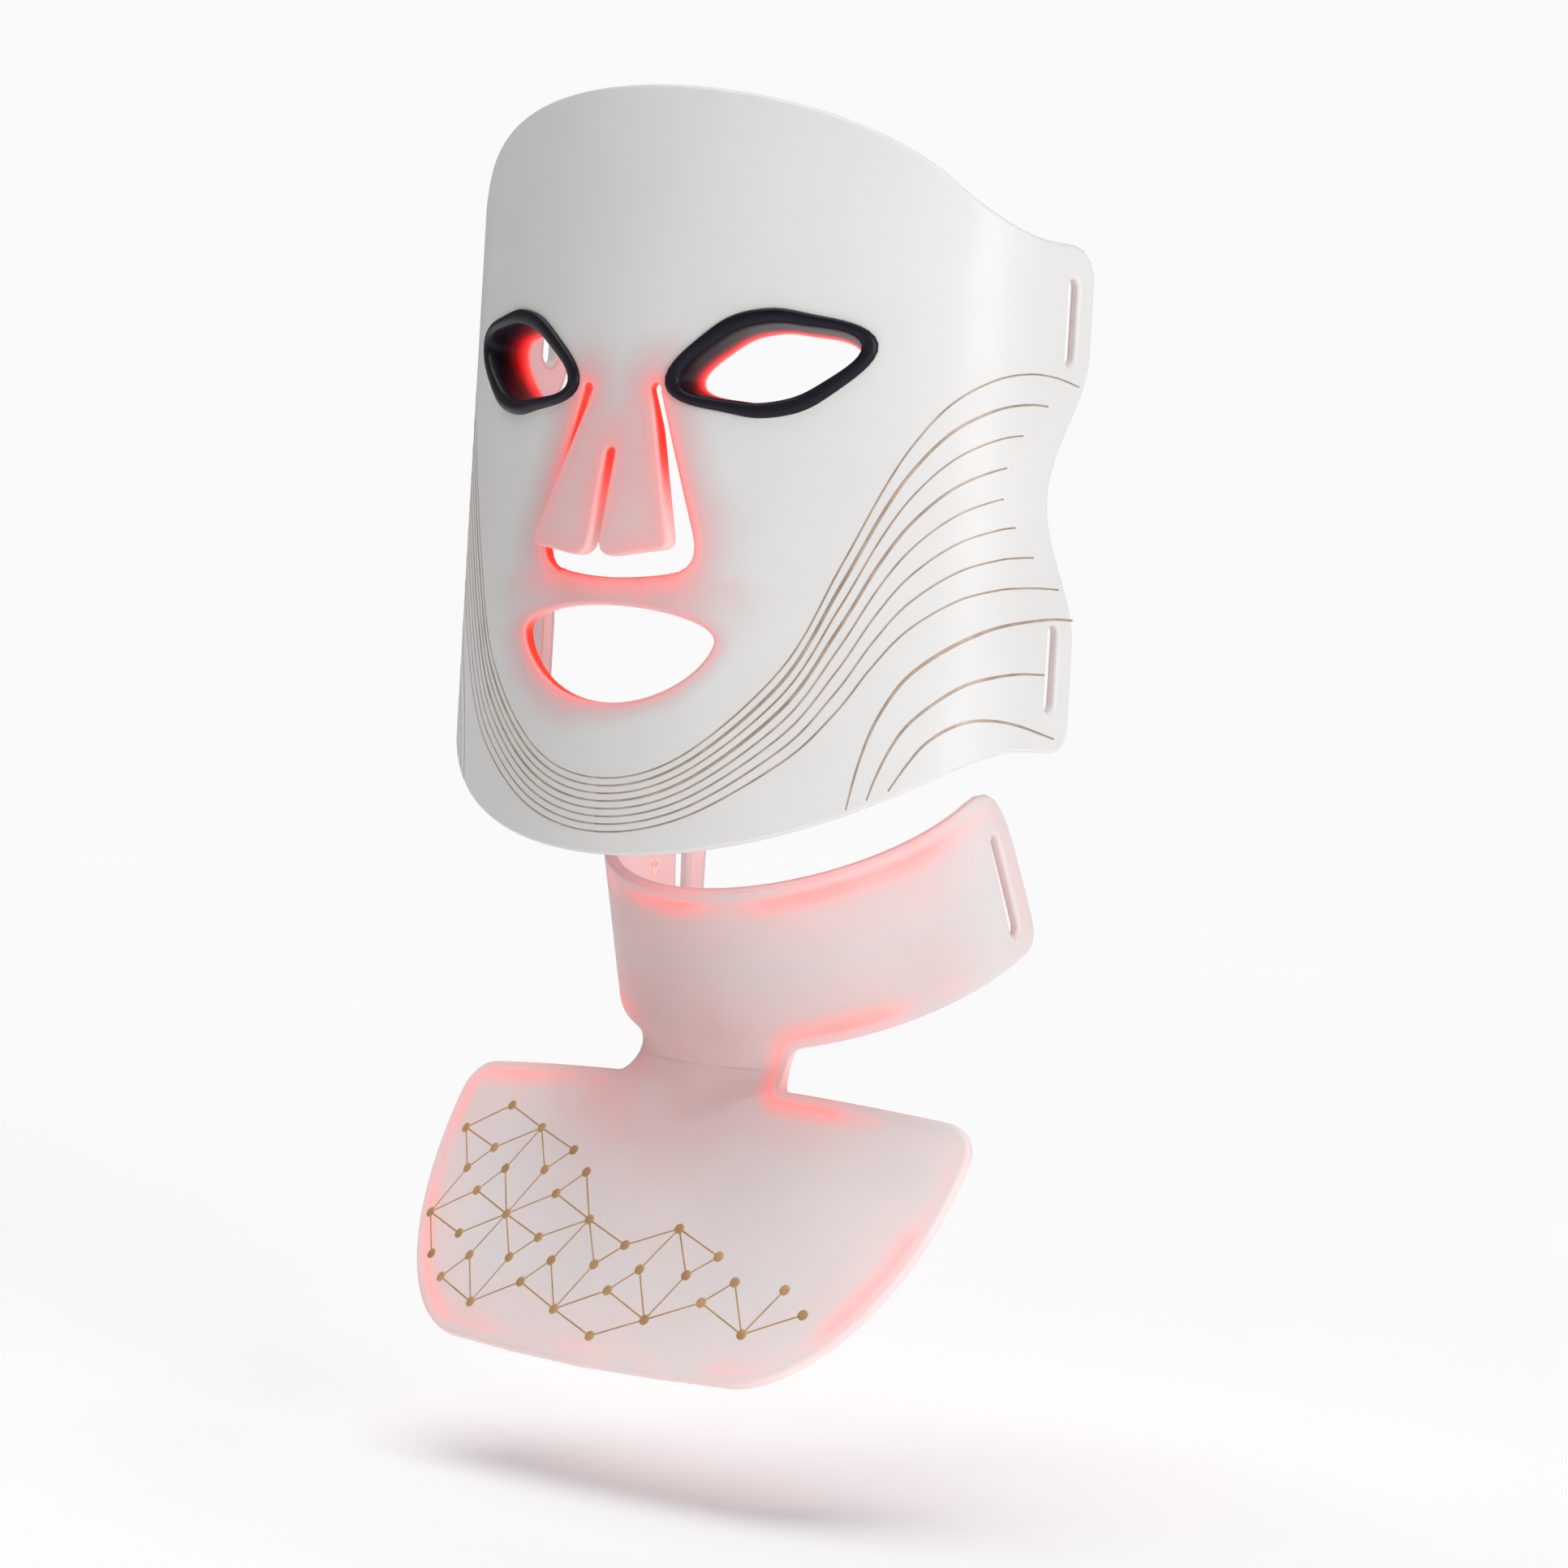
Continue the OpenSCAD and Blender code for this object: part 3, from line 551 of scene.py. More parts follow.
class Nodes:
    """A Principled material and short ways to add its nodes."""

    def __init__(self, name, roughness, **values):
        self.mat = bpy.data.materials.new(name)
        self.mat.use_nodes = True
        self.tree = self.mat.node_tree
        self.shader = self.tree.nodes["Principled BSDF"]
        self.shader.inputs["Roughness"].default_value = roughness
        for key, value in values.items():
            self.shader.inputs[key.replace("_", " ")].default_value = value
        self.place = self.add("ShaderNodeTexCoord").outputs["Object"]

    def add(self, kind, **values):
        node = self.tree.nodes.new(kind)
        for key, value in values.items():
            setattr(node, key, value)
        return node

    def put(self, socket, value):
        if isinstance(value, bpy.types.NodeSocket):
            self.tree.links.new(value, socket)
        else:
            socket.default_value = value

    def noise(self, scale, detail=3.0, rough=0.5):
        node = self.add("ShaderNodeTexNoise")
        self.put(node.inputs["Vector"], self.place)
        node.inputs["Scale"].default_value = scale
        node.inputs["Detail"].default_value = detail
        node.inputs["Roughness"].default_value = rough
        return node.outputs["Fac"]

    def ramp(self, value, stops):
        """A colour ramp over (position, colour) stops."""
        node = self.add("ShaderNodeValToRGB")
        self.put(node.inputs["Fac"], value)
        stop = node.color_ramp.elements
        while len(stop) < len(stops):
            stop.new(0.5)
        for element, (at, colour) in zip(stop, stops):
            element.position = at
            element.color = (*colour, 1)
        return node.outputs["Color"]

    def scaled(self, value, low, high, to_low=0.0, to_high=1.0):
        node = self.add("ShaderNodeMapRange")
        for key, number in (("Value", value), ("From Min", low), ("From Max", high),
                            ("To Min", to_low), ("To Max", to_high)):
            self.put(node.inputs[key], number)
        return node.outputs["Result"]

    def math(self, operation, a, b):
        node = self.add("ShaderNodeMath", operation=operation)
        self.put(node.inputs[0], a)
        self.put(node.inputs[1], b)
        return node.outputs[0]

    def mix(self, share, a, b, blend="MIX"):
        node = self.add("ShaderNodeMix", data_type="RGBA", blend_type=blend)
        for k, value in ((0, share), (6, a), (7, b)):
            self.put(node.inputs[k], value)
        return node.outputs[2]

    def fact(self, name):
        return self.add("ShaderNodeAttribute", attribute_name=name).outputs["Fac"]

    def finish(self, colour, bump=None, strength=0.2, distance=0.0002, glow=None, rough=None):
        self.put(self.shader.inputs["Base Color"], colour)
        if bump is not None:
            node = self.add("ShaderNodeBump")
            node.inputs["Strength"].default_value = strength
            node.inputs["Distance"].default_value = distance
            self.put(node.inputs["Height"], bump)
            self.put(self.shader.inputs["Normal"], node.outputs["Normal"])
        if glow is not None:
            self.put(self.shader.inputs["Emission Color"], glow)
            self.shader.inputs["Emission Strength"].default_value = 1
        if rough is not None:
            self.put(self.shader.inputs["Roughness"], rough)
        return self.mat


def silicone_parts(n, low, high):
    """The even skin of moulded silicone: slow tone changes, a fine grain and satin patches."""
    tone = n.mix(n.scaled(n.noise(22), 0.3, 0.7), (*low, 1), (*high, 1))
    grain = n.math("ADD", n.math("MULTIPLY", n.noise(2600, 2), 0.35), n.noise(260, 3))
    rough = n.scaled(n.noise(60), 0.3, 0.7, 0.38, 0.5)
    return tone, grain, rough


def mask_silicone():
    """White silicone with the inner lights' glow painted on: a pink cast and red emission towards the lit
    openings, and a painted red glow on their walls.
    """
    n = Nodes("mask_silicone", 0.44, Specular_IOR_Level=0.42)
    tone, grain, rough = silicone_parts(n, (0.75, 0.742, 0.728), (0.785, 0.777, 0.763))
    # Painted glow: how far the painted light of the LEDs inside reaches from the openings.
    halo = n.math("MULTIPLY", n.fact("halo"), n.scaled(n.noise(38, 2), 0.3, 0.7, 0.05, 0.078))
    # Painted red glow, as emission, strongest at the openings' edges.
    glow = n.ramp(halo, [(0.0, (0.50, 0.03, 0.025)), (0.08, (0.38, 0.018, 0.016)),
                         (0.2, (0.20, 0.008, 0.008)), (0.42, (0.065, 0.002, 0.002)),
                         (0.75, (0.012, 0, 0)), (1.0, (0, 0, 0))])
    # Painted glow: the base colour turns pink towards the openings.
    glow_tint = n.ramp(halo, [(0.0, (1, 0.34, 0.33)), (0.08, (0.99, 0.55, 0.55)), (0.2, (0.88, 0.66, 0.68)),
                         (0.42, (0.91, 0.80, 0.81)), (0.75, (0.97, 0.94, 0.94)), (1.0, (1, 1, 1))])
    skin = n.mix(1.0, tone, glow_tint, "MULTIPLY")
    # Painted glow on the openings' walls: dark red with red emission, paler where the painted glow is
    # weaker, and a painted highlight on the flap's walls that face the lamp.
    wall, pale = n.fact("wall"), n.fact("pale")
    side = n.mix(pale, (0.42, 0.015, 0.01, 1), (0.80, 0.60, 0.58, 1))
    side_glow = n.mix(pale, (0.93, 0.035, 0.016, 1), (0.16, 0.03, 0.028, 1))
    return n.finish(n.mix(wall, skin, side), grain, 0.12, 0.0001, n.mix(wall, glow, side_glow), rough)


def neck_silicone():
    """Thinner-looking silicone, faintly pink all over from a painted glow, with salmon patches of painted
    glow inside its edge, painted shade on the collar's middle and a painted glowing heart at the waist.
    """
    n = Nodes("neck_silicone", 0.42, Specular_IOR_Level=0.45)
    tone, grain, rough = silicone_parts(n, (0.73, 0.72, 0.712), (0.79, 0.78, 0.772))
    halo, lit, bib = n.math("MULTIPLY", n.fact("halo"), 0.05), n.fact("lit"), n.fact("bib")
    # Painted red glow, as emission, in bands inside the edge.
    band = n.ramp(halo, [(0.0, (0.45, 0.04, 0.035)), (0.04, (0.34, 0.02, 0.018)),
                         (0.09, (0.16, 0.006, 0.006)), (0.17, (0.62, 0.03, 0.025)),
                         (0.25, (0.40, 0.012, 0.011)), (0.42, (0.10, 0.002, 0.002)),
                         (1.0, (0.03, 0.001, 0.001))])
    thin = n.ramp(halo, [(0.0, (0.16, 0.006, 0.006)), (0.08, (0.03, 0.001, 0.001)),
                         (0.2, (0.05, 0.002, 0.002)), (1.0, (0.015, 0, 0))])
    # Painted glow: the base colour turns pink in bands inside the edge.
    edge_glow_tint = n.ramp(halo, [(0.0, (1, 0.70, 0.68)), (0.09, (1, 0.90, 0.90)), (0.17, (1, 0.60, 0.58)),
                          (0.25, (1, 0.70, 0.68)), (0.42, (1, 0.92, 0.92)), (1.0, (1, 1, 1))])
    # Painted shade with a pink cast of painted glow: the collar's middle darker, fading towards its ends
    # and over the bib.
    shade_and_glow_share = n.math("MULTIPLY", lit, n.scaled(bib, 0, 1, 1.0, 0.25))
    shade = n.mix(shade_and_glow_share, (1, 1, 1, 1), (0.86, 0.78, 0.78, 1))
    tone = n.mix(1.0, tone, shade, "MULTIPLY")
    # Salmon patches of painted glow where the light inside shows.
    glow_patch = n.math("MULTIPLY", n.scaled(n.noise(21, 2), 0.40, 0.58), lit)
    tone = n.mix(glow_patch, tone, n.mix(1.0, tone, edge_glow_tint, "MULTIPLY"))
    # A painted glowing heart at the waist: pink base colour and red emission.
    core = n.math("MULTIPLY", n.fact("heart"), n.scaled(n.noise(34, 3), 0.3, 0.7, 0.2, 1.0))
    tone = n.mix(core, tone, n.mix(1.0, tone, (0.95, 0.68, 0.68, 1), "MULTIPLY"))
    # A faint painted glow over the bib, added to the emission.
    edges = n.mix(bib, n.mix(glow_patch, thin, band), (0.09, 0.062, 0.06, 1), "ADD")
    glow = n.mix(core, edges, (0.24, 0.02, 0.02, 1))
    return n.finish(tone, grain, 0.12, 0.0001, glow, rough)


def lining_silicone():
    n = Nodes("lining_silicone", 0.36, Specular_IOR_Level=0.5)
    tone, grain, rough = silicone_parts(n, (0.72, 0.56, 0.57), (0.80, 0.66, 0.66))
    # Painted red glow of the LEDs through the lining, as emission.
    glow = n.mix(n.scaled(n.noise(30, 2), 0.35, 0.7), (0.15, 0.03, 0.035, 1), (0.30, 0.075, 0.08, 1))
    return n.finish(tone, grain, 0.15, 0.0001, glow, rough)


def gasket_silicone():
    n = Nodes("gasket_silicone", 0.38, Specular_IOR_Level=0.22)
    tone = n.mix(n.scaled(n.noise(40), 0.3, 0.7), (0.007, 0.006, 0.011, 1), (0.013, 0.011, 0.019, 1))
    # Painted red glow of the LEDs on the funnel wall, as emission growing with the depth fact.
    glow = n.ramp(n.fact("depth"), [(0.0, (0, 0, 0)), (0.28, (0, 0, 0)), (0.45, (0.025, 0.001, 0.001)),
                                    (0.62, (0.20, 0.004, 0.004)), (0.76, (0.80, 0.012, 0.012)),
                                    (0.9, (1.0, 0.06, 0.05)), (1.0, (1.0, 0.3, 0.27))])
    rough = n.scaled(n.noise(90), 0.3, 0.7, 0.32, 0.46)
    return n.finish(tone, n.noise(1800, 3), 0.15, 0.0001, glow, rough)


def ink(name, low, high, metallic, roughness):
    n = Nodes(name, roughness, Metallic=metallic)
    tone = n.mix(n.scaled(n.noise(160, 4), 0.35, 0.65), (*low, 1), (*high, 1))
    rough = n.scaled(n.noise(200), 0.3, 0.7, roughness - 0.06, roughness + 0.08)
    return n.finish(tone, n.noise(4000, 2), 0.2, 0.00005, rough=rough)


def lit_lens(name, colour, heart, skin):
    n = Nodes(name, 0.2, Specular_IOR_Level=0.5)
    spots = n.scaled(n.noise(700, 2), 0.35, 0.65)
    glow = n.mix(spots, (*colour, 1), (*heart, 1))
    tone = n.mix(spots, (*skin, 1), (0.8, 0.6, 0.6, 1))
    return n.finish(tone, n.noise(1500, 2), 0.1, 0.0001, glow)


def film(name, low, high, metallic=0.0, roughness=0.4):
    """Circuit film and bare metal: fine directional texture with worn patches."""
    n = Nodes(name, roughness, Metallic=metallic)
    wave = n.add("ShaderNodeTexWave", bands_direction="Z")
    n.put(wave.inputs["Vector"], n.place)
    wave.inputs["Scale"].default_value = 900
    wave.inputs["Distortion"].default_value = 2
    tone = n.mix(n.scaled(n.noise(120, 4), 0.3, 0.7), (*low, 1), (*high, 1))
    rough = n.scaled(n.noise(90), 0.3, 0.7, roughness - 0.08, roughness + 0.1)
    return n.finish(tone, wave.outputs["Fac"], 0.08, 0.00005, rough=rough)


# ---- Pieces ----

def span(surface, a, b):
    """Two points of a surface in metres."""
    ends = surface(np.array([a, b], float), PANEL_T / 2) * MM
    return tuple(ends[0]), tuple(ends[1])


WINGS = {"left": 1, "right": -1}


def bend_mask(obj, side):
    sign = WINGS[side]
    start, end = span(mask_surface, (sign * (FRONT_U - 8), -34), (sign * (FRONT_U + 8), -34))
    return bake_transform(obj)


def bend_flap(obj):
    start, end = span(mask_surface, (0, FLAP_TOP + 2), (0, FLAP_TOP - 6))
    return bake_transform(obj)


def bend_collar(obj, side):
    sign = WINGS[side]
    middle = COLLAR_FOOT + COLLAR_H / 2
    r = COLLAR_R + COLLAR_H / 2 * np.tan(COLLAR_FLARE)
    start, end = span(collar_surface, (sign * (COLLAR_FOLD - 0.16) * r, middle),
                      (sign * (COLLAR_FOLD + 0.16) * r, middle))
    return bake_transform(obj)


def bend_bib(obj):
    start, end = span(neck_surface, (0, COLLAR_FOOT + 2), (0, BIB_TOP - 1))
    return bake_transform(obj)


def mask_shades(p, loops):
    """Where the painted glow of the light inside the mask shows: how far off it is in mm, and how it
    colours the edges, with paler walls for weaker painted glow and a painted highlight.
    """
    u, h = p[:, 0], p[:, 1]
    mouth, nose = distance_to(p, [loops[1]]), distance_to(p, [loops[2]])
    # The mouth's painted glow fades sooner towards the wearer's left and above the mouth's middle.
    dim = np.maximum(smooth_step((u + 16) / 24), smooth_step((h - MOUTH_H) / 9))
    # Stronger painted glow below the nose.
    lip = 1 - 0.4 * smooth_step((-56 - h) / 6)
    halo = np.minimum(nose * lip, mouth * (1.2 + 1.6 * dim))
    # The flap's lobes get an even painted glow.
    lobe = on_flap(p) * smooth_step((FLAP_TOP + 2 - h) / 12)
    # Paler walls: weaker painted glow at the mouth, and a painted highlight on the flap's walls that face
    # the lamp.
    return {"halo": halo * (1 - lobe) + (2.0 + 0.4 * halo) * lobe,
            "wall": (np.minimum(mouth, nose) < 1.5) * 1.0,
            "pale": np.where(mouth < nose, 0.85 * dim, on_flap(p) * smooth_step((-28 - h) / 24))}


def neck_shades(p, loops):
    """How far in from the edge a point is in mm, and how strongly the painted glow and the collar's painted
    shade show there.
    """
    # bib is the bib's share, which gets a faint painted glow and less painted shade; heart is a painted
    # glowing heart at the waist.
    u, h = np.abs(p[:, 0]), p[:, 1]
    collar = 1 - 0.8 * smooth_step((u - 62) / 28)
    bib = 1 - 0.35 * smooth_step((np.hypot(u, h - BIB_TOP) - 40) / 40)
    return {"halo": distance_to(p, loops[:1]), "lit": np.where(h > NECK_CUT, collar, bib),
            "bib": smooth_step((NECK_CUT + 10 - h) / 22),
            "heart": 1 - smooth_step(np.hypot(p[:, 0] + 12, h - NECK_CUT) / 46)}


def trimmed(loops, distance):
    """Loops drawn into the material, without the points that a sharp bend folds over."""
    loops = oriented(loops)
    return [moved[distance_to(moved, [loop]) > 0.97 * distance]
            for loop, moved in zip(loops, inset_loops(loops, distance))]


def mask_loops():
    loops = [mask_outline(), mouth_outline(), nose_outline(), eye_hole(), mirrored(eye_hole())]
    for h in SLOT_H:
        slot = slot_outline(SLOT_U, h, SLOT_L, SLOT_W)
        loops += [slot, mirrored(slot)]
    return loops


def mask_sheet(loops, front, back, edge_r, slit_grow=0.0):
    cut = SLIT_AT[1] + SLIT_R + slit_grow + edge_r
    cuts = [[(0, FOREHEAD_H), (0, MIDDLE_SLIT_H + 1)], [(-SLIT_AT[0], cut), (SLIT_AT[0], cut)],
            [(0, -60), (0, MOUTH_H + 8)], [(0, MOUTH_H - 17), (0, -CHIN_H)]]
    return Sheet(loops, mask_surface, front, back, edge_r, cuts, mask_shades), cut


def mask_parts(sheet, cut, label, mat, node):
    """Two halves that meet in the middle, and the nose flap between its slits."""
    def flap(p):
        root = (np.abs(p[:, 0]) < SLIT_AT[0]) & (p[:, 1] > SLIT_AT[1] - 1) & (p[:, 1] < cut)
        return on_flap(p) | root

    for side, sign in WINGS.items():
        obj = sheet.piece(f"mask_{side}_{label}", lambda p: (p[:, 0] * sign > 0) & ~flap(p), mat)
        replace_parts(bend_mask(obj, side), f"face_{node}", f"{side}_wing_{node}")
    obj = sheet.piece(f"nose_{label}", flap, mat)
    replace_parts(bend_flap(obj), f"nose_flap_{node}")


def neck_parts(sheet, label, mat, node):
    """Two halves of the collar, and the bib with its waist."""
    for side, sign in WINGS.items():
        obj = sheet.piece(f"collar_{side}_{label}",
                          lambda p: (p[:, 0] * sign > 0) & (p[:, 1] > NECK_CUT), mat)
        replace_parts(bend_collar(obj, side), f"collar_{node}", f"collar_{side}_wing_{node}")
    obj = sheet.piece(f"bib_{label}", lambda p: p[:, 1] < NECK_CUT, mat)
    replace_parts(bend_bib(obj), f"bib_{node}")


def neck_loops():
    slot = slot_outline(*COLLAR_SLOT, 25, SLOT_W)
    return [neck_outline(), slot, mirrored(slot)]


def neck_sheet(loops, front, back, edge_r):
    cuts = [[(0, COLLAR_TOP), (0, BIB_LOW)], [(-WAIST_HALF, NECK_CUT), (WAIST_HALF, NECK_CUT)]]
    return Sheet(loops, neck_surface, front, back, edge_r, cuts, neck_shades)


GASKET_W, GASKET_DEEP = 3.9, 10.5
FUNNEL_STEPS = [0.2, 0.4, 0.6, 0.75, 0.88, 1.0]


def eye_gasket(side, mat):
    """A hoop with a proud front flange, a funnel wall and a rear flange that grips the panel."""
    axis = np.array((-np.sin(EYE_TURN), np.cos(EYE_TURN), 0))
    front = [(0, 0.2), (0, -0.5), (0.3, -0.95), (0.85, -1.2), (1.6, -1.25), (2.8, -1.2),
             (3.5, -0.95), (GASKET_W, -0.4)]
    rear = [(3.4, GASKET_DEEP + 0.3), (2.3, 4.6), (0.9, 4.3), (0.9, 3.4), (2.1, 3.3), (2.1, 0.2)]
    # How strongly the painted red glow shows at each step: none on the front flange, rising down the
    # funnel, weaker over the rear flange.
    shares = [0] * len(front) + FUNNEL_STEPS + [0.97, 0.8] + [0.3] * (len(rear) - 2)
    rings = []
    for t in turns(96):
        ring = []
        for inset, depth in front:
            ring.append(mask_surface(np.array([eye_point(t, inset)]), depth)[0])
        for share in FUNNEL_STEPS:
            p = eye_point(t, GASKET_W + 3.2 * share, GASKET_W + share, -0.75 * share)
            ring.append(mask_surface(np.array([p]), 0)[0] + axis * GASKET_DEEP * share)
        for inset, depth in rear:
            ring.append(mask_surface(np.array([eye_point(t, inset)]), 0)[0] + axis * depth)
        rings.append(np.array(ring) * (WINGS[side], 1, 1))
    if side == "right":
        rings = rings[::-1]
    obj = swept(f"{side}_eye_seal", rings, mat, {"depth": shares * len(rings)})
    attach(obj, "face")
    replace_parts(obj, f"{side}_eye_gasket")


# The contour print: its highest and lowest lines, from the chin out to the rear edge
FIRST_LINE = [(0, -108.9), (24, -102.4), (48.3, -80.4), (61.6, -54.8), (71.3, -34.8),
              (78.1, -23.6), (86.1, -14.4), (96, -8.4), (106, -6), (117, -5.9), (127.9, -7.5)]
LAST_LINE = [(0, -122), (25, -117.2), (49.5, -102.6), (62, -90), (70, -78.7), (78.2, -69.1),
             (89.8, -61.3), (100.3, -58.1), (108, -57.2), (116, -56.8), (127, -56.8)]
LOW_ARCS = [
    ([(129.8, -63.9), (119.6, -64.2), (103.9, -66.3), (94.4, -69.5), (85.7, -74.5),
      (78.8, -80.3), (74.4, -86.6), (70.9, -93.9), (68.2, -102.8), (66.2, -112.4)], 0.85),
    ([(119.6, -77.6), (109, -77.8), (100, -79.1), (92.7, -81.4), (85.8, -85.9),
      (79.5, -91.7), (75.6, -97.9), (72.7, -104.7), (71, -109.9)], 0.75),
    ([(124.9, -93), (110.2, -90.2), (99.3, -89.3), (91.6, -90.8), (84.6, -95.3),
      (80.1, -100.9), (76, -107.4)], 0.7),
]
LINE_COUNT = 8


def contour_lines():
    """Lines spaced evenly from the first to the last, which stop short in the middle of the fan."""
    first, last = spline(FIRST_LINE, 9, level=True), spline(LAST_LINE, 9, level=True)
    lines = []
    for k in range(LINE_COUNT):
        share = k / (LINE_COUNT - 1)
        path = first * (1 - share) + last * share
        end = 101 + 26 * ((k - 3.6) / 3.6) ** 2
        path = path[path[:, 0] <= end]
        swell = np.sin(np.pi * np.clip(path[:, 0] / end, 0, 1))
        width = 0.4 + (0.45 * swell if k in (1, 3) else 0.1 * swell)
        lines.append((path, width))
    for points, widest in LOW_ARCS:
        path = spline(points, 6)
        lines.append((path, 0.4 + (widest - 0.4) * np.sin(np.linspace(0.2, np.pi, len(path)))))
    return lines


def print_mask(mat):
    for side, sign in WINGS.items():
        paths = [(path * (sign, 1), width) for path, width in contour_lines()]
        obj = printed(f"{side}_contour_print", paths, mask_surface, mat)
        bend_mask(obj, side)


# The network print: hubs of a slanting grid with the dots that each one has about it
HUB_PITCH, ROW_PITCH = 29, 25
SHIFTS = {"left": (-14.5, 6.5), "up": (-7.2, 13), "over": (7.2, 13), "down": (14.5, -6),
          "below": (7.2, -12), "right": (14.5, 7.5)}
HUBS = {
    (-73, -14): ("down",), (-44, -14): ("left", "down"),
    (-73, -39): ("over", "down", "below"), (-44, -39): ("left", "up", "over", "down"),
    (-15, -39): ("left", "up", "down"), (14, -39): ("down",),
    (-44, -64): ("left", "up", "over"), (-15, -64): ("left", "up", "over", "down"),
    (14, -64): ("left", "up", "over"), (43, -64): ("left", "up", "over", "right"),
}
NETWORK_TURN = 0.05


def turned(p):
    """A point of the network's grid, turned a little about the grid's middle."""
    u, h = p[0] + 44, p[1] + 39
    cos, sin = np.cos(NETWORK_TURN), np.sin(NETWORK_TURN)
    return -44 + u * cos - h * sin, -39 + u * sin + h * cos


def network():
    """The places of the dots, and the pairs of places that lines join."""
    dots, lines = set(HUBS), []

    def join(a, b):
        if a is not None and b is not None:
            lines.append((a, b))

    def dot(hub, kind):
        if kind not in HUBS.get(hub, ()):
            return None
        place = (hub[0] + SHIFTS[kind][0], hub[1] + SHIFTS[kind][1])
        dots.add(place)
        return place

    for hub in HUBS:
        before = (hub[0] - HUB_PITCH, hub[1])
        above = (hub[0], hub[1] + ROW_PITCH)
        for kind in SHIFTS:
            join(hub, dot(hub, kind))
        join(dot(hub, "left"), dot(hub, "up"))
        if before in HUBS:
            join(before, dot(hub, "left"))
            join(dot(before, "down"), hub)
        if above in HUBS:
            join(above, dot(hub, "up"))
            join(above, dot(hub, "over"))
            join(dot(above, "down"), dot(hub, "over"))
    return sorted(dots), lines


def print_bib(mat):
    dots, lines = network()
    paths = [(np.linspace(turned(a), turned(b), 7), np.full(7, 0.42)) for a, b in lines]
    bars = printed("bib_network_lines", paths, neck_surface, mat)
    pads = buttons("bib_network_dots", [turned(d) for d in dots], 2.8, neck_surface, 0.05, -0.2, mat,
                   corner=1.0)
    for obj in (bars, pads):
        bend_bib(obj)


# ---- LED windows on the inner side ----

LED_PITCH, LED_FIRST, LED_INSET = 17, -119, 8


def clear_of_holes(u, h):
    eye = ((abs(u) - EYE_AT[0]) / 36) ** 2 + ((h - EYE_AT[1]) / 23) ** 2 > 1
    mouth = (u / (MOUTH_W + 9)) ** 2 + ((h - MOUTH_H + 4) / 22) ** 2 > 1
    return eye and mouth and not (abs(u) < 30.6 and -66 < h < -6)


def mask_leds(shift):
    """Places of one half's packages: the face's grid, then the wing's closer columns."""
    places = []
    for h in np.arange(LED_FIRST + shift, FOREHEAD_H, LED_PITCH):
        for u in np.arange(-4.5 * LED_PITCH + shift, FRONT_U - LED_INSET, LED_PITCH):
            fits = bottom_edge(abs(u)) + LED_INSET < h < top_edge(abs(u)) - LED_INSET
            if abs(u) < FRONT_U - LED_INSET and fits and clear_of_holes(u, h):
                places.append((u, h))
        for u in np.arange(SIDE_U - 12 + shift / 2, HALF_FLAT, 12):
            edge = rear_edge(h) if abs(h - EAR_H) < EAR_HALF else HALF_FLAT
            slot = min(max(abs(u - SLOT_U) - SLOT_W, abs(h - s) - SLOT_L / 2) for s in SLOT_H)
            fits = bottom_edge(u) + LED_INSET < h < top_edge(u) - LED_INSET
            if FRONT_U + 6 < u < edge - LED_INSET and fits and slot > 4:
                places += [(u, h), (-u, h)]
    return places


def collar_leds(turns_to, columns, falls):
    places = []
    for fall in falls:
        r = COLLAR_R + fall * np.tan(COLLAR_FLARE)
        for angle in np.radians(np.linspace(-turns_to, turns_to, columns)):
            places.append((angle * r, COLLAR_TOP - fall))
    return places


def bib_leds(shift):
    return [(u, -w) for w in np.arange(8 + shift, 62, 15) for u in np.arange(-72 + shift, 73, 16)
            if abs(u) < BIB_HALF - 10 - 0.45 * max(0, w - 20)]


def led_windows(kind, size, mat):
    shift = 0 if kind == "red" else LED_PITCH / 2
    mask = mask_leds(shift)
    collar = collar_leds(84, 12, (9, 21, 33)) if kind == "red" else collar_leds(40, 6, (15, 27))
    groups = [(f"mask_{side}", [p for p in mask if p[0] * sign > 0], mask_surface,
               lambda obj, side=side: bend_mask(obj, side)) for side, sign in WINGS.items()]
    groups += [(f"collar_{side}", [p for p in collar if p[0] * sign > 0], neck_surface,
                lambda obj, side=side: bend_collar(obj, side)) for side, sign in WINGS.items()]
    groups.append(("bib", bib_leds(0 if kind == "red" else 7.5), neck_surface, bend_bib))
    if kind == "red":
        flap = [(s * (3.5 - h / 6), h) for s in (-1, 1) for h in (-33, -45)] + [(0, FLAP_TOP - 8)]
        groups.append(("nose", flap, mask_surface, bend_flap))
    for label, places, surface, bend in groups:
        depth = LINING_D + 0.9 if label != "nose" else PANEL_T - 0.05
        obj = buttons(f"{label}_{kind}_windows", places, size, surface, depth, 0.25, mat)
        bend(obj)


# ---- CAD pieces that stay ----

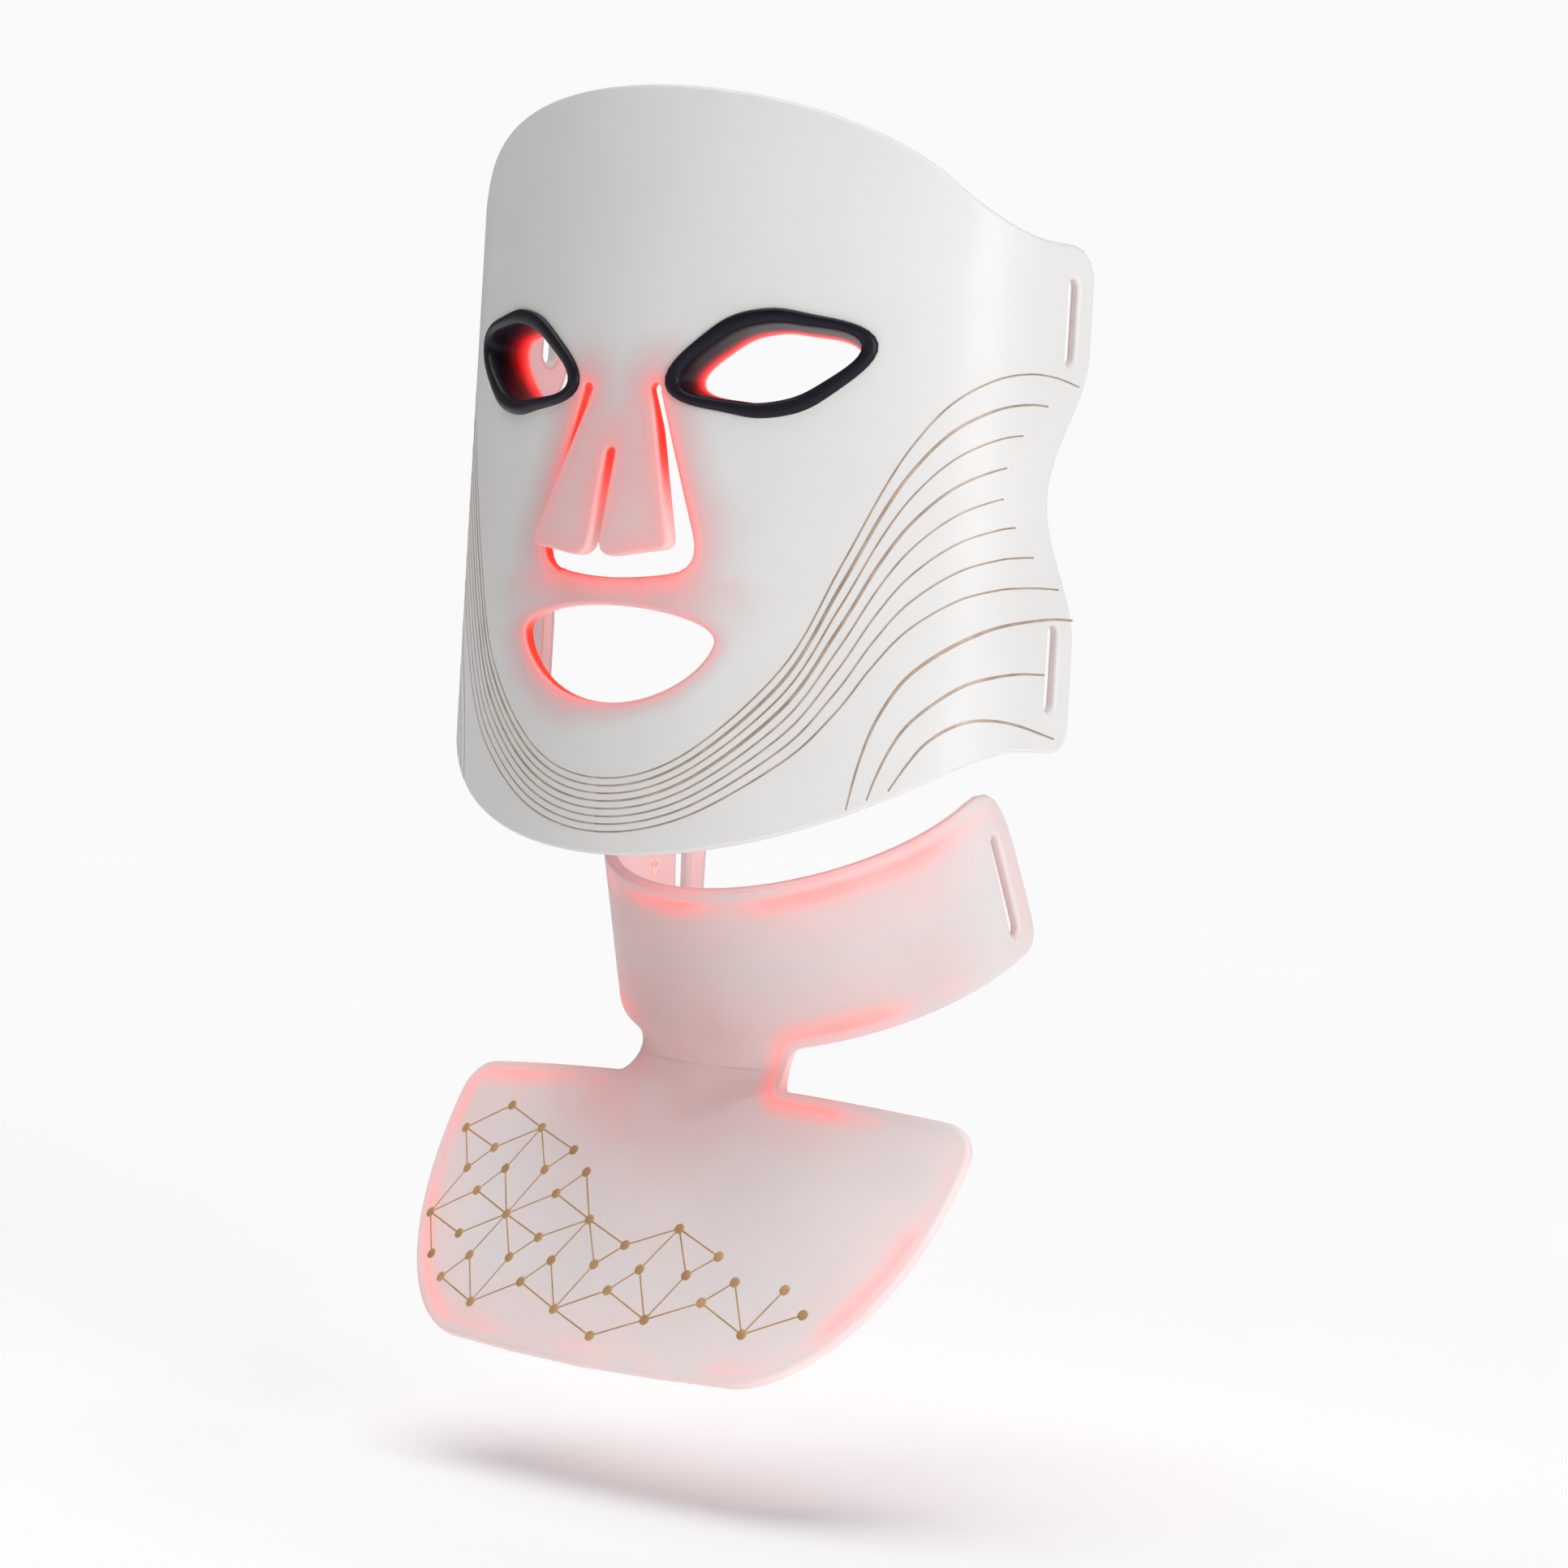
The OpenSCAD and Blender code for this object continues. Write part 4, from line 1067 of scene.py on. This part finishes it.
def finish_cad(nodes):
    copper = film("circuit_film", (0.62, 0.27, 0.06), (0.78, 0.40, 0.12), 0.15, 0.42)
    red = lit_lens("red_package", (0.55, 0.02, 0.01), (1.0, 0.12, 0.06), (0.9, 0.35, 0.3))
    infrared = lit_lens("infrared_package", (0.02, 0.006, 0.01), (0.06, 0.012, 0.02), (0.2, 0.17, 0.28))
    chip = film("chip_resin", (0.018, 0.018, 0.02), (0.035, 0.035, 0.038), 0.0, 0.5)
    metal = film("port_metal", (0.50, 0.50, 0.51), (0.66, 0.66, 0.66), 1.0, 0.3)
    tongue = film("port_tongue", (0.03, 0.03, 0.032), (0.06, 0.06, 0.065), 0.0, 0.45)
    boot = boot_silicone()
    endings = {"circuit": copper, "infrared_leds": infrared, "red_leds": red, "driver_chips": chip,
               "inlet_boot": boot, "inlet_shell": metal, "inlet_tongue": tongue}
    for name, obj in nodes.items():
        for ending, mat in endings.items():
            if name.endswith(ending):
                for place in obj.material_slots:
                    place.material = mat


def boot_silicone():
    n = Nodes("boot_silicone", 0.44, Specular_IOR_Level=0.42)
    tone, grain, rough = silicone_parts(n, (0.74, 0.72, 0.70), (0.80, 0.79, 0.77))
    return n.finish(tone, grain, 0.15, 0.0001, rough=rough)


# ---- Studio ----

FLOOR_H, FLOOR_HALF = -284.5, 20000
WHITE = 0.955


def floor():
    n = Nodes("studio_floor", 0.9, Specular_IOR_Level=0.0)
    tone = n.mix(n.scaled(n.noise(3), 0.3, 0.7), (0.895, 0.895, 0.895, 1), (0.905, 0.905, 0.905, 1))
    n.finish(tone, glow=(0.185, 0.185, 0.185, 1))
    corners = [(-1, -1), (1, -1), (1, 1), (-1, 1)]
    points = [(x * FLOOR_HALF, y * FLOOR_HALF, FLOOR_H) for x, y in corners]
    mesh_object("studio_floor", points, [(0, 1, 2, 3)], n.mat)


def world():
    scene = bpy.context.scene
    scene.world = bpy.data.worlds.new("studio")
    scene.world.use_nodes = True
    tree = scene.world.node_tree
    seen = tree.nodes.new("ShaderNodeLightPath")
    shade = tree.nodes["Background"]
    shade.inputs["Color"].default_value = (0.13, 0.13, 0.133, 1)
    bright = tree.nodes.new("ShaderNodeBackground")
    bright.inputs["Color"].default_value = (WHITE, WHITE, WHITE, 1)
    mix = tree.nodes.new("ShaderNodeMixShader")
    tree.links.new(seen.outputs["Is Camera Ray"], mix.inputs[0])
    tree.links.new(shade.outputs[0], mix.inputs[1])
    tree.links.new(bright.outputs[0], mix.inputs[2])
    tree.links.new(mix.outputs[0], tree.nodes["World Output"].inputs["Surface"])
    scene.view_settings.view_transform = "Standard"


def lamp(name, azimuth, elevation, spread, strength):
    """An even, soft light from far off, placed by its direction from the front."""
    a, e = np.radians(azimuth), np.radians(elevation)
    out = Vector((np.sin(a) * np.cos(e), -np.cos(a) * np.cos(e), np.sin(e)))
    data = bpy.data.lights.new(name, "SUN")
    data.angle, data.energy = np.radians(spread), strength
    obj = bpy.data.objects.new(name, data)
    obj.rotation_mode = "QUATERNION"
    obj.rotation_quaternion = out.to_track_quat("Z", "Y")
    bpy.context.scene.collection.objects.link(obj)


def camera():
    """A long lens from the wearer's left, almost level, with a slight roll."""
    a, e, roll = np.radians(39), np.radians(1.55), np.radians(3.38)
    back = Vector((np.sin(a) * np.cos(e), -np.cos(a) * np.cos(e), np.sin(e)))
    right = Vector((np.cos(a), np.sin(a), 0))
    up = back.cross(right)
    across = right * np.cos(roll) + up * np.sin(roll)
    high = up * np.cos(roll) - right * np.sin(roll)
    data = bpy.data.cameras.new("camera")
    data.sensor_width, data.lens = 36, 102.5
    data.clip_start, data.clip_end = 0.05, 50
    obj = bpy.data.objects.new("camera", data)
    place = Matrix((across, high, back)).transposed().to_4x4()
    place.translation = Vector((-16.7, 0, -110)) * MM + back * 1.17
    obj.matrix_world = place
    bpy.context.scene.collection.objects.link(obj)
    bpy.context.scene.camera = obj


# ---- Scene ----

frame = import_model()

camera()
world()
floor()
lamp("key", 74, 5, 36, 2.55)
lamp("top", -60, 82, 56, 2.0)

cover, lining = mask_silicone(), lining_silicone()
neck = neck_silicone()
loops = mask_loops()
sheet, cut = mask_sheet(loops, 0, PANEL_T - 0.1, COVER_EDGE_R)
mask_parts(sheet, cut, "cover", cover, "cover")
sheet, cut = mask_sheet(trimmed(loops, RIM_W), LINING_D + 0.6, PANEL_T + 0.1, LINING_EDGE_R, RIM_W)
mask_parts(sheet, cut, "lining", lining, "inner_cover")

loops = neck_loops()
neck_parts(neck_sheet(loops, 0, PANEL_T - 0.1, NECK_EDGE_R), "cover", neck, "cover")
neck_parts(neck_sheet(trimmed(loops, RIM_W), LINING_D + 0.6, PANEL_T + 0.1, LINING_EDGE_R),
           "lining", lining, "inner_cover")

gasket = gasket_silicone()
eye_gasket("left", gasket)
eye_gasket("right", gasket)
print_mask(ink("rose_ink", (0.36, 0.26, 0.20), (0.52, 0.40, 0.32), 0.2, 0.42))
print_bib(ink("gold_ink", (0.50, 0.29, 0.12), (0.62, 0.38, 0.18), 0.15, 0.42))
led_windows("red", 3.6, lit_lens("red_window", (0.50, 0.03, 0.02), (1.0, 0.25, 0.2), (0.9, 0.4, 0.35)))
led_windows("infrared", 2.6, lit_lens("infrared_window", (0.05, 0.008, 0.01), (0.12, 0.02, 0.02),
                                      (0.35, 0.25, 0.28)))
finish_cad(frame["nodes"])
